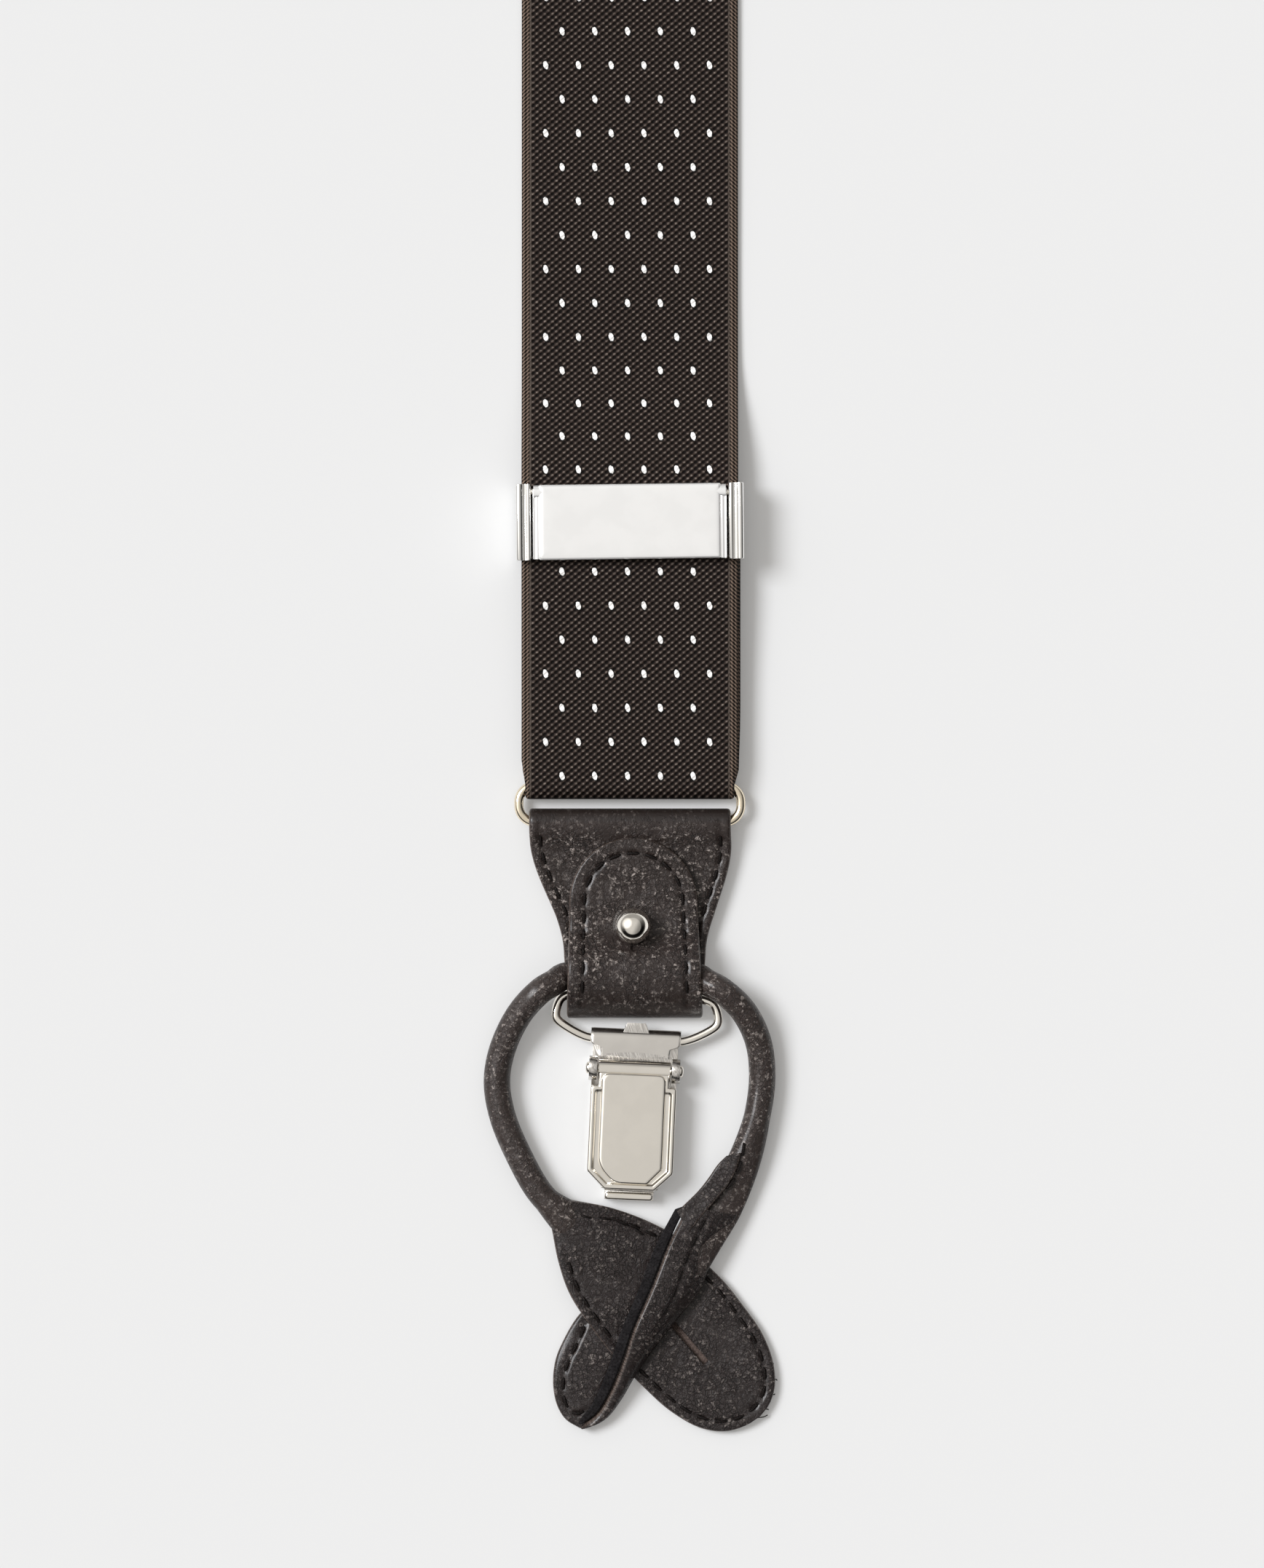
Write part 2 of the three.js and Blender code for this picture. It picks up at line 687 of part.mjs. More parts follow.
function addAdjuster(end, name) {
  const spot = new THREE.Group();
  spot.position.y = adjuster.centre;
  end.add(spot);
  const half = adjuster.height / 2;
  const inner = strap.width / 2 + GAP;
  const outer = inner + adjuster.sheet;
  const railIn = outer - adjuster.rail;
  const top = coverFoot + adjuster.barrel;
  const low = barLevel - adjuster.barThick / 2;
  const pinLine = half - 1.5;
  const pinHeight = coverFoot + adjuster.barrel / 2;
  const foot = -half + 2; // the webbing's fold is centred here, just past the rear bar
  const wall = inner + adjuster.sheet / 2; // the bars end inside the side rails
  const lower = box(-wall, wall, foot - adjuster.barWidth, foot, low, low + adjuster.barThick);
  const high = strapRise - strap.thick / 2 - GAP;
  const upper = box(-wall, wall, half - 2.2, half - 1, high - adjuster.barThick, high);
  let frame = lower.add(upper);
  for (const way of [-1, 1]) {
    const [a, b, c] = [railIn, inner, outer].map((x) => way * x);
    frame = frame.add(box(Math.min(b, c), Math.max(b, c), -half, half, low, top));
    frame = frame.add(box(Math.min(a, c), Math.max(a, c), -half, half, coverFoot, top));
  }
  const bore = railIn + 1.6;
  frame = frame.subtract(bar(adjuster.pin + 2 * GAP, -bore, bore, pinLine, pinHeight));
  addMesh(spot, `${name}_adjuster_frame`, frame, nickel);
  const pin = bar(adjuster.pin, -bore + GAP, bore - GAP, pinLine, pinHeight);
  addMesh(spot, `${name}_adjuster_pin`, pin, steel);

  const wide = railIn - GAP;
  const ledge = top - adjuster.plateThick;
  const sheet = box(-wide, wide, -half + 0.2, pinLine, ledge - adjuster.cover, ledge);
  const face = plate(roundedBox(adjuster.plate, adjuster.height - 0.8, 0.7), 0, 1, 0.3);
  const raised = face.translate([0, 0.1, top - 1]);
  const barrel = bar(adjuster.barrel, -wide, wide, pinLine, pinHeight, 14);
  const teeth = box(-wide + 2, wide - 2, pinLine - 2.6, pinLine - 2, coverFoot, ledge - 0.5);
  const hole = bar(adjuster.pin + 2 * GAP, -outer, outer, pinLine, pinHeight);
  const cover = sheet.add(raised).add(barrel).add(teeth).subtract(hole);
  addMesh(spot, `${name}_adjuster_cover`, cover, nickel);
}

// ---------------------------------------------------------------- back patch

function patchOutline() {
  const half = strap.width / 2 + patch.border;
  const shoulder = patch.split / 2;
  const [sin, cos] = [Math.sin(spread), Math.cos(spread)];
  const foot = [patch.reach * sin + half * cos, -patch.reach * cos + half * sin];
  const outline = new THREE.Shape();
  outline.moveTo(half, patch.head);
  outline.lineTo(half, -shoulder);
  outline.quadraticCurveTo(half, -shoulder - 8, half + 4, -shoulder - 16);
  outline.lineTo(foot[0], foot[1]);
  outline.lineTo(0, -patch.reach / cos);
  outline.lineTo(-foot[0], foot[1]);
  outline.lineTo(-half - 4, -shoulder - 16);
  outline.quadraticCurveTo(-half, -shoulder - 8, -half, -shoulder);
  outline.lineTo(-half, patch.head);
  return outline;
}

function addPatch() {
  addMesh(model, 'patch_back', plate(patchOutline(), 0, patch.thick), leather);
  const above = patchLayer + strap.thick / 2 + GAP;
  addMesh(model, 'patch_front', plate(patchOutline(), above, patch.thick, 0.25), leather);
}

// ---------------------------------------------------------------- assembly

addPatch();
for (const [name, side] of [['left', 1], ['right', -1]]) {
  const end = makeEnd(name);
  addFrontStrap(end, name, side);
  addReturnStrap(end, name);
  addAdjuster(end, name);
  const reach = strap.frontLength;
  end.position.set(-side * reach * Math.sin(spread), -reach * Math.cos(spread), 0);
  end.rotation.z = -side * spread;
  model.add(end);
}
const backEnd = makeEnd('back');
addBackStrap(backEnd);
backEnd.position.y = strap.backLength;
backEnd.rotation.z = Math.PI;
model.add(backEnd);

// The origin is the middle of the footprint.
model.updateMatrixWorld(true);
const middle = new THREE.Box3().setFromObject(model, true).getCenter(new THREE.Vector3());
model.position.set(-middle.x, -middle.y, 0);
model.updateMatrixWorld(true);

export default model;
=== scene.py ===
"""Looks of the Y-back suspenders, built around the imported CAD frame.

Each end is drawn in its own flat frame in millimetres: u to the right, v up the strap towards
the patch, z up off the table, with the ring's middle at the origin.
"""

import math

import bmesh
import bpy
import numpy as np
from mathutils import Matrix, Vector


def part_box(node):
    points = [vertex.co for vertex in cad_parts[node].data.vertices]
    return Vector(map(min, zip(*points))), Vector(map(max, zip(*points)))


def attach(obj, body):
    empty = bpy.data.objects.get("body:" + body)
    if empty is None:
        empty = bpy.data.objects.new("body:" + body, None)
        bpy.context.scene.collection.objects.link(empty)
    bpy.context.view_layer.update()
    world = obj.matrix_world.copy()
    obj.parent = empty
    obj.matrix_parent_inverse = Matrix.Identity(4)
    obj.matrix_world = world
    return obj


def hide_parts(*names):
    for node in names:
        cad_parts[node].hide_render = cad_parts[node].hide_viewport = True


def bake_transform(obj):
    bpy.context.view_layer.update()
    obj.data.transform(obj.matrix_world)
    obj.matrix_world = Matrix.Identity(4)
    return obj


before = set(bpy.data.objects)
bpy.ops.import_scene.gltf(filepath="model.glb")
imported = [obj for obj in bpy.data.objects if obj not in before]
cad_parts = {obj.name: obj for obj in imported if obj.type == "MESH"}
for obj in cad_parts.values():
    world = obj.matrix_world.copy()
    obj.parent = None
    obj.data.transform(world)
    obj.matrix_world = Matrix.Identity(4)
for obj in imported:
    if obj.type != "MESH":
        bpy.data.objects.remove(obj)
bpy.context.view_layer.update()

MM = 0.001
SPREAD = 17.0  # turn of each front strap away from the middle line, in degrees
ENDS = {"left": -SPREAD, "right": SPREAD, "back": 180.0}  # turn of each end about Z
LAY = {"left": (-2.6, 1.3), "right": (1.5, -0.6), "back": (0.0, 0.0)}  # clip's turn and shift

# lines across an end, as places along v
TAB_TOP = -0.75
TAB_FOOT = -34.4
STUD_LINE = -19.7
BAIL_LINE = -31.2
CLIP_DROP = 6.9  # from the bail's bar to the clip's pivot
LEVER_LINE, LEVER_HEIGHT = -4.9, 3.4  # the lever's axle, from the clip's pivot
ADJUSTER = 45.6

FRONT_LENGTH = 740.0
BACK_LENGTH = 150.0
WEB_HALF = 17.5
STRIP = 1.2  # thickness of the webbing, the tab, the flap and the patch
WIRE = 0.75  # radius of the ring's and the bail's wire
FOLD = 1.65  # radius of the strips' middle line round a wire
BAR_HEIGHT = 2.25
LOW_LAYER = STRIP / 2


def end_matrix(name):
    low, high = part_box(f"{name}_ring")
    middle = (low + high) / 2
    turn = Matrix.Rotation(math.radians(ENDS[name]), 4, "Z")
    return Matrix.Translation((middle.x, middle.y, 0)) @ turn @ Matrix.Scale(MM, 4)


def clip_matrix(name):
    turn, shift = LAY[name]
    spot = Matrix.Translation((shift, BAIL_LINE, 0)) @ Matrix.Rotation(math.radians(turn), 4, "Z")
    return end_matrix(name) @ spot


# ---------------------------------------------------------------- node helpers


class Tree:
    """Builds a node tree with short calls."""

    def __init__(self, tree):
        self.tree = tree
        tree.nodes.clear()

    def add(self, kind, **settings):
        node = self.tree.nodes.new(kind)
        for key, value in settings.items():
            setattr(node, key, value)
        return node

    def join(self, value, socket):
        if isinstance(value, bpy.types.NodeSocket):
            self.tree.links.new(value, socket)
        else:
            socket.default_value = value

    def math(self, operation, a, b=0.0, c=0.0, clamp=False):
        node = self.add("ShaderNodeMath", operation=operation, use_clamp=clamp)
        for value, socket in zip((a, b, c), node.inputs):
            self.join(value, socket)
        return node.outputs[0]

    def ramp(self, value, low, high, to_low=0.0, to_high=1.0):
        node = self.add("ShaderNodeMapRange", interpolation_type="SMOOTHSTEP")
        for socket, x in zip(node.inputs, (value, low, high, to_low, to_high)):
            self.join(x, socket)
        return node.outputs[0]

    def mix(self, share, a, b):
        node = self.add("ShaderNodeMix", data_type="RGBA")
        self.join(share, node.inputs[0])
        for value, socket in zip((a, b), node.inputs[6:8]):
            self.join(value if isinstance(value, bpy.types.NodeSocket) else (*value, 1), socket)
        return node.outputs[2]

    def texture(self, kind, vector, scale, **settings):
        sockets = {k: settings.pop(k) for k in list(settings) if k[0].isupper()}
        node = self.add(kind, **settings)
        self.join(vector, node.inputs["Vector"])
        self.join(scale, node.inputs["Scale"])
        for key, value in sockets.items():
            self.join(value, node.inputs[key])
        return node

    def uv(self, name):
        return self.add("ShaderNodeUVMap", uv_map=name).outputs[0]

    def split(self, vector):
        node = self.add("ShaderNodeSeparateXYZ")
        self.join(vector, node.inputs[0])
        return node.outputs[:3]

    def attribute(self, name):
        return self.add("ShaderNodeAttribute", attribute_name=name).outputs["Fac"]

    def dot(self, vector, direction):
        node = self.add("ShaderNodeVectorMath", operation="DOT_PRODUCT")
        self.join(vector, node.inputs[0])
        self.join(direction, node.inputs[1])
        return node.outputs["Value"]

    def place(self, kind):
        return self.add("ShaderNodeTexCoord").outputs[kind]


class Nodes(Tree):
    """The node tree of one material."""

    def __init__(self, name):
        self.material = bpy.data.materials.new(name)
        self.material.use_nodes = True
        super().__init__(self.material.node_tree)
        self.shader = self.add("ShaderNodeBsdfPrincipled")
        self.join(self.shader.outputs[0], self.add("ShaderNodeOutputMaterial").inputs[0])

    def bump(self, height, depth, strength=1.0):
        """A normal from a height, where depth is in millimetres."""
        node = self.add("ShaderNodeBump")
        self.join(strength, node.inputs["Strength"])
        self.join(depth * MM, node.inputs["Distance"])
        self.join(height, node.inputs["Height"])
        return node.outputs[0]

    def finish(self, **sockets):
        for key, value in sockets.items():
            self.join(value, self.shader.inputs[key.replace("_", " ")])
        return self.material


def srgb(*rgb):
    """Linear colour from 0..255 display values."""
    return tuple((c / 255 / 12.92) if c < 11 else ((c / 255 + 0.055) / 1.055) ** 2.4 for c in rgb)


# ---------------------------------------------------------------- materials

FLECK = (1.25, 1.06)  # the weave's repeat across and along, in mm
DOT_ROW = 5.5
DOT_PITCH = 5.3
FIRST_DOT = 13.6  # how far the full rows' first dot is to the left
DOT_START = 1.0  # where the rows start, from the ring's middle
SLOPE_EXTRA = 0.45  # the webbing's extra length where it slopes down past the adjuster
DOT_HALF = (0.41, 0.66)  # half a dot's width and length
SELVEDGE = 1.35  # width of the border
RIB = 0.62  # the border's repeat along the strap
CHANNEL = 0.66  # and across it
FULL_ROW, SHORT_ROW = 15.9, 13.25  # how far the dots of even and odd rows reach


def webbing_material(end):
    """Weave and dots are laid out by place, so they keep their size when the adjuster slides."""
    n = Nodes(f"webbing_birdseye_{end}")
    u, _, _ = n.split(n.uv("Strap"))
    *to_v, shift = end_matrix(end).inverted()[1]
    flat = n.math("ADD", n.dot(n.place("Object"), to_v), shift + DOT_START)
    v = n.math("ADD", flat, n.ramp(flat, ADJUSTER + 8, ADJUSTER + 32, 0.0, SLOPE_EXTRA))
    strap = n.add("ShaderNodeCombineXYZ")
    n.join(u, strap.inputs[0])
    n.join(v, strap.inputs[1])
    strap = strap.outputs[0]
    wobble = n.texture("ShaderNodeTexNoise", strap, 0.55, Detail=2.0).outputs[0]
    drift = n.math("MULTIPLY_ADD", wobble, 0.9, -0.45)
    a = n.math("MULTIPLY_ADD", u, 2 * math.pi / FLECK[0], drift)
    b = n.math("MULTIPLY_ADD", v, 2 * math.pi / FLECK[1], drift)
    ridge = n.math("COSINE", n.math("SUBTRACT", a, b))
    cross = n.math("COSINE", n.math("ADD", a, b))
    weave = n.math("MULTIPLY_ADD", ridge, 0.64, n.math("MULTIPLY", cross, 0.36))
    yarn = n.texture("ShaderNodeTexNoise", strap, 3.2, Detail=3.0).outputs[0]
    patchy = n.texture("ShaderNodeTexNoise", strap, 0.9, Detail=2.0).outputs[0]

    across = n.math("ABSOLUTE", u)
    edge = n.ramp(across, WEB_HALF - SELVEDGE - 0.12, WEB_HALF - SELVEDGE + 0.12)
    slant = n.math("MULTIPLY", across, 9.0)
    rib = n.math("COSINE", n.math("MULTIPLY_ADD", v, 2 * math.pi / RIB, slant))
    channel = n.math("COSINE", n.math("MULTIPLY", across, 2 * math.pi / CHANNEL))
    selvedge = n.math("MULTIPLY_ADD", rib, 0.45, n.math("MULTIPLY", channel, 0.3))
    line_at = n.math("ABSOLUTE", n.math("SUBTRACT", across, WEB_HALF - SELVEDGE - 0.1))
    line = n.ramp(line_at, 0.22, 0.06)

    row = n.math("DIVIDE", v, DOT_ROW)
    number = n.math("FLOOR", n.math("ADD", row, 0.5))
    odd = n.math("MODULO", n.math("ABSOLUTE", number), 2.0)
    dv = n.math("MULTIPLY", n.math("SUBTRACT", row, number), DOT_ROW)
    column = n.math("DIVIDE", n.math("ADD", u, FIRST_DOT), DOT_PITCH)
    column = n.math("MULTIPLY_ADD", odd, -0.5, column)
    nearest = n.math("FLOOR", n.math("ADD", column, 0.5))
    du = n.math("MULTIPLY", n.math("SUBTRACT", column, nearest), DOT_PITCH)
    du = n.math("MULTIPLY_ADD", dv, 0.16, du)
    row_half = n.math("MULTIPLY_ADD", odd, SHORT_ROW - FULL_ROW, FULL_ROW)
    inside = n.math("LESS_THAN", n.math("ABSOLUTE", n.math("ADD", u, 0.35)), row_half)
    rough_edge = n.math("MULTIPLY_ADD", yarn, 0.5, -0.25)
    dx, dy = (n.math("DIVIDE", offset, half) for offset, half in zip((du, dv), DOT_HALF))
    reach = n.math("SQRT", n.math("MULTIPLY_ADD", dx, dx, n.math("MULTIPLY", dy, dy)))
    reach = n.math("ADD", reach, rough_edge)
    dot = n.math("MULTIPLY", n.ramp(reach, 1.12, 0.88), inside)
    halo = n.math("MULTIPLY", n.ramp(reach, 1.75, 1.15), inside)

    lift = n.add("ShaderNodeMix", data_type="FLOAT")
    n.join(edge, lift.inputs[0])
    n.join(weave, lift.inputs[2])
    n.join(selvedge, lift.inputs[3])
    height = lift.outputs[0]
    body = n.mix(n.ramp(weave, -0.5, 0.2), srgb(7, 3, 2), srgb(46, 37, 33))
    light = n.math("MULTIPLY", n.ramp(weave, 0.28, 0.95), n.ramp(yarn, 0.32, 0.68, 0.15, 1.0))
    light = n.math("MULTIPLY", light, n.ramp(patchy, 0.3, 0.7, 0.5, 1.0))
    body = n.mix(light, body, srgb(140, 128, 119))
    border = n.mix(n.ramp(selvedge, -0.4, 0.6), srgb(8, 4, 2), srgb(119, 102, 90))
    colour = n.mix(edge, body, border)
    colour = n.mix(n.math("MULTIPLY", line, 0.45), colour, srgb(104, 94, 86))
    colour = n.mix(n.math("MULTIPLY", halo, 0.85), colour, srgb(8, 5, 4))
    colour = n.mix(dot, colour, srgb(250, 248, 245))
    relief = n.bump(n.math("MULTIPLY_ADD", dot, 1.2, height), 0.1)
    return n.finish(Base_Color=colour, Roughness=0.75, Specular_IOR_Level=0.12, Normal=relief)


def leather_material(name, colour, glint=1.0, gloss=0.46):
    n = Nodes(name)
    skin = n.uv("Skin")
    warp = n.texture("ShaderNodeTexNoise", skin, 0.45, Detail=3.0)
    bent = n.add("ShaderNodeVectorMath", operation="MULTIPLY_ADD")
    n.join(warp.outputs["Color"], bent.inputs[0])
    bent.inputs[1].default_value = (0.7, 0.7, 0.7)
    n.join(skin, bent.inputs[2])
    bent = bent.outputs[0]
    grit = n.texture("ShaderNodeTexNoise", bent, 1.45, Detail=3.0, Roughness=0.62).outputs[0]
    gaps = n.texture("ShaderNodeTexVoronoi", bent, 1.25, feature="DISTANCE_TO_EDGE")
    gaps = gaps.outputs["Distance"]
    fine = n.texture("ShaderNodeTexNoise", skin, 4.5, Detail=3.0).outputs[0]
    patchy = n.texture("ShaderNodeTexNoise", skin, 0.16, Detail=3.0).outputs[0]
    crease = n.texture("ShaderNodeTexNoise", skin, 0.3, Detail=4.0, Distortion=1.2).outputs[0]
    crease = n.ramp(n.math("ABSOLUTE", n.math("SUBTRACT", crease, 0.5)), 0.0, 0.012)
    calm = n.math("MULTIPLY_ADD", n.attribute("smooth"), -0.85, 1.0)
    share = n.math("MULTIPLY", calm, n.ramp(patchy, 0.36, 0.6, 0.3, 1.0))
    height = n.math("MULTIPLY_ADD", n.ramp(gaps, 0.0, 0.12), 0.5, n.math("MULTIPLY", grit, 2.4))
    height = n.math("MULTIPLY_ADD", fine, 0.5, height)
    height = n.math("MULTIPLY", height, share)
    height = n.math("MULTIPLY_ADD", crease, 0.35, height)
    # painted highlights: bright irregular specks of light colour on the pebble tops, where the light
    # would glint, among darker hollows
    speck = n.math("MULTIPLY", n.ramp(grit, 0.53, 0.68), n.ramp(gaps, 0.02, 0.14, 0.3, 1.0))
    speck = n.math("MULTIPLY", n.math("MULTIPLY", speck, share), glint)
    worn = n.math("MULTIPLY", n.ramp(n.attribute("rim"), 0.3, 0.02), n.ramp(fine, 0.35, 0.6, 0.3, 1.0))
    # painted shade: the cracks between the pebbles are darkened in the colour
    gap = n.math("MULTIPLY", n.ramp(gaps, 0.1, 0.0), share)
    tone = n.mix(n.ramp(patchy, 0.35, 0.7), colour, tuple(c * 1.25 for c in colour))
    # painted shade: where the smooth value nears its top, at the tab's fold, the colour is darkened
    painted_fold_shade = n.ramp(n.attribute("smooth"), 0.86, 1.0, 0.0, 0.5)
    tone = n.mix(painted_fold_shade, tone, tuple(c * 0.3 for c in colour))
    # painted shade in the cracks between the pebbles
    tone = n.mix(n.math("MULTIPLY", gap, 0.8), tone, tuple(c * 0.25 for c in colour))
    # painted highlights: the specks take a light colour
    tone = n.mix(speck, tone, srgb(160, 150, 144))
    tone = n.mix(n.math("MULTIPLY", worn, 0.6), tone, srgb(112, 98, 90))
    return n.finish(
        Base_Color=tone, Roughness=gloss, Specular_IOR_Level=0.22, Coat_Weight=0.3,
        Coat_Roughness=0.2, Normal=n.bump(height, 0.2),
    )


def edge_material(name, dark, pale):
    """Raw felt of the leather's cut edges and flesh side."""
    n = Nodes(name)
    skin = n.uv("Skin")
    fuzz = n.texture("ShaderNodeTexNoise", skin, 2.6, Detail=5.0, Roughness=0.7).outputs[0]
    wide = n.texture("ShaderNodeTexNoise", skin, 0.5, Detail=2.0).outputs[0]
    tone = n.mix(n.ramp(fuzz, 0.3, 0.7), dark, pale)
    tone = n.mix(n.ramp(wide, 0.35, 0.65, 0.0, 0.45), tone, dark)
    return n.finish(
        Base_Color=tone, Roughness=0.9, Specular_IOR_Level=0.1,
        Normal=n.bump(fuzz, 0.16),
    )


def thread_material():
    n = Nodes("stitching_thread")
    place = n.place("Object")
    twist = n.texture("ShaderNodeTexWave", place, 1400.0, bands_direction="DIAGONAL", Distortion=1.5)
    fuzz = n.texture("ShaderNodeTexNoise", place, 5000.0, Detail=2.0).outputs[0]
    tone = n.mix(twist.outputs["Fac"], srgb(5, 3, 3), srgb(30, 24, 22))
    return n.finish(
        Base_Color=tone, Roughness=0.6, Specular_IOR_Level=0.15,
        Normal=n.bump(n.math("ADD", twist.outputs["Fac"], fuzz), 0.05, 0.8),
    )


def metal_material(name, colour, roughness, brushed=False, scratch=0.3, metallic=1.0):
    n = Nodes(name)
    place = n.place("Object")
    stretch = n.add("ShaderNodeMapping")
    n.join(place, stretch.inputs["Vector"])
    stretch.inputs["Scale"].default_value = (900, 60, 900) if brushed else (260, 260, 260)
    lines = n.texture("ShaderNodeTexNoise", stretch.outputs[0], 9.0 if brushed else 1.0, Detail=5.0)
    dull = 0.7 if brushed else 0.97
    tone = n.mix(n.ramp(lines.outputs[0], 0.38, 0.62), tuple(c * dull for c in colour), colour)
    rough = n.ramp(lines.outputs[0], 0.3, 0.7, max(0.02, roughness - 0.03), roughness + 0.05)
    depth = 0.02 if brushed else 0.002
    return n.finish(
        Base_Color=tone, Metallic=metallic, Roughness=rough,
        Normal=n.bump(lines.outputs[0], depth, scratch),
    )


def plastic_material():
    n = Nodes("ribbed_nylon")
    place = n.place("Object")
    ribs = n.texture("ShaderNodeTexWave", place, 900.0, bands_direction="Y").outputs["Fac"]
    speck = n.texture("ShaderNodeTexNoise", place, 2500.0, Detail=3.0).outputs[0]
    tone = n.mix(speck, srgb(205, 201, 192), srgb(228, 225, 218))
    return n.finish(Base_Color=tone, Roughness=0.55, Normal=n.bump(ribs, 0.15, 0.8))


WEBBING = {end: webbing_material(end) for end in ENDS}
LEATHER = leather_material("leather_grained", (0.0245, 0.0172, 0.0150))
SMOOTH_LEATHER = leather_material("leather_rolled", (0.0325, 0.0240, 0.0212), 1.15, 0.42)
EAR_LEATHER = leather_material("leather_ear", (0.0175, 0.0124, 0.0116), 0.45, 0.46)
RAW_EDGE = edge_material("leather_raw_edge", srgb(12, 10, 11), srgb(44, 42, 43))
SLIT_LINING = edge_material("leather_flesh_side", srgb(62, 52, 48), srgb(112, 98, 92))
THREAD = thread_material()
NICKEL = metal_material("nickel_polished", (0.93, 0.89, 0.82), 0.05)
BRIGHT = metal_material("nickel_adjuster", (0.97, 0.965, 0.955), 0.05, metallic=0.55)
RING_METAL = metal_material("nickel_ring", (0.95, 0.84, 0.66), 0.08)
STEEL = metal_material("steel_brushed", (0.86, 0.83, 0.79), 0.22, brushed=True, scratch=0.6)
RAIL_METAL = metal_material("nickel_rails", (0.93, 0.92, 0.90), 0.06)
BRACKET_METAL = metal_material("nickel_bracket", (0.80, 0.77, 0.73), 0.12, scratch=0.5)
PLASTIC = plastic_material()


# ---------------------------------------------------------------- mesh helpers


def catmull(points, per=8):
    """Smooth curve through the points: centripetal Catmull-Rom."""
    p = np.array(points, float)
    p = np.vstack([2 * p[0] - p[1], p, 2 * p[-1] - p[-2]])
    out = []
    for i in range(len(p) - 3):
        a, b, c, d = p[i:i + 4]
        t1 = max(np.linalg.norm(b - a), 1e-9) ** 0.5
        t2 = t1 + max(np.linalg.norm(c - b), 1e-9) ** 0.5
        t3 = t2 + max(np.linalg.norm(d - c), 1e-9) ** 0.5
        t = np.linspace(t1, t2, per, endpoint=False)[:, None]
        ab = (t1 - t) / t1 * a + t / t1 * b
        bc = (t2 - t) / (t2 - t1) * b + (t - t1) / (t2 - t1) * c
        cd = (t3 - t) / (t3 - t2) * c + (t - t2) / (t3 - t2) * d
        abc = (t2 - t) / t2 * ab + t / t2 * bc
        bcd = (t3 - t) / (t3 - t1) * bc + (t - t1) / (t3 - t1) * cd
        out.append((t2 - t) / (t2 - t1) * abc + (t - t1) / (t2 - t1) * bcd)
    return np.vstack([*out, p[-2]])


def arc_length(points):
    steps = np.linalg.norm(np.diff(points, axis=0), axis=1)
    return np.concatenate([[0], np.cumsum(steps)])


def even(points, count=None, step=None):
    """The same line with evenly spaced points."""
    s = arc_length(points)
    count = count or max(3, int(round(s[-1] / step)) + 1)
    at = np.linspace(0, s[-1], count)
    return np.stack([np.interp(at, s, points[:, k]) for k in range(points.shape[1])], 1)


def unit(v):
    return v / np.maximum(np.linalg.norm(v, axis=-1, keepdims=True), 1e-12)


class Shell:
    """Collects faces of one piece, with UVs and per-vertex values, and makes the object."""

    def __init__(self):
        self.verts, self.faces, self.uvs, self.values = [], [], [], {}
        self.count = 0

    def add(self, verts, faces, corner_uvs=None, **values):
        verts = np.asarray(verts, float).reshape(-1, 3)
        self.verts.append(verts)
        self.faces += [[int(i) + self.count for i in face] for face in faces]
        size = sum(len(face) for face in faces)
        uvs = np.zeros((size, 2)) if corner_uvs is None else np.asarray(corner_uvs, float)
        self.uvs.append(uvs.reshape(-1, 2))
        for key in ("rim", "smooth"):
            value = values.get(key, 9.0 if key == "rim" else 0.0)
            self.values.setdefault(key, []).append(np.broadcast_to(value, (len(verts),)))
        self.count += len(verts)

    def make(self, name, matrix, material, uv_name="Skin", sharp=40):
        mesh = bpy.data.meshes.new(name)
        mesh.from_pydata(np.vstack(self.verts).tolist(), [], self.faces)
        layer = mesh.uv_layers.new(name=uv_name)
        layer.uv.foreach_set("vector", np.vstack(self.uvs).astype(np.float32).ravel())
        for key, parts in self.values.items():
            made = mesh.attributes.new(key, "FLOAT", "POINT")
            made.data.foreach_set("value", np.concatenate(parts).astype(np.float32))
        tidy = bmesh.new()
        tidy.from_mesh(mesh)
        bmesh.ops.remove_doubles(tidy, verts=tidy.verts, dist=1e-4)
        bmesh.ops.recalc_face_normals(tidy, faces=tidy.faces)
        tidy.to_mesh(mesh)
        tidy.free()
        mesh.transform(matrix)
        mesh.materials.append(material)
        mesh.polygons.foreach_set("use_smooth", [True] * len(mesh.polygons))
        mesh.set_sharp_from_angle(angle=math.radians(sharp))
        made = bpy.data.objects.new(name, mesh)
        bpy.context.scene.collection.objects.link(made)
        return made


def loft(shell, rings, uv=None, caps=True, closed=False, **values):
    """Skins a row of rings. rings is stations x points x 3, uv is stations x (points + 1) x 2."""
    rings = np.asarray(rings, float)
    stations, points = rings.shape[:2]
    if uv is None:
        along = arc_length(rings.mean(1))
        around = np.array([arc_length(np.vstack([r, r[:1]])) for r in rings])
        uv = np.stack([around, np.broadcast_to(along[:, None], around.shape)], 2)
    spans = stations if closed else stations - 1
    i, j = np.meshgrid(np.arange(spans), np.arange(points), indexing="ij")
    k, m = (j + 1) % points, (i + 1) % stations
    quads = np.stack([i * points + j, i * points + k, m * points + k, m * points + j], -1)
    corner = np.stack([uv[i, j], uv[i, j + 1], uv[m, j + 1], uv[m, j]], 2).reshape(-1, 2)
    faces = quads.reshape(-1, 4).tolist()
    if caps and not closed:
        faces.append(list(range(points))[::-1])
        faces.append([(stations - 1) * points + q for q in range(points)])
        corner = np.vstack([corner, uv[0, :points][::-1], uv[-1, :points]])
    values = {k: np.asarray(x).reshape(-1) if np.ndim(x) else x for k, x in values.items()}
    shell.add(rings.reshape(-1, 3), faces, corner, **values)


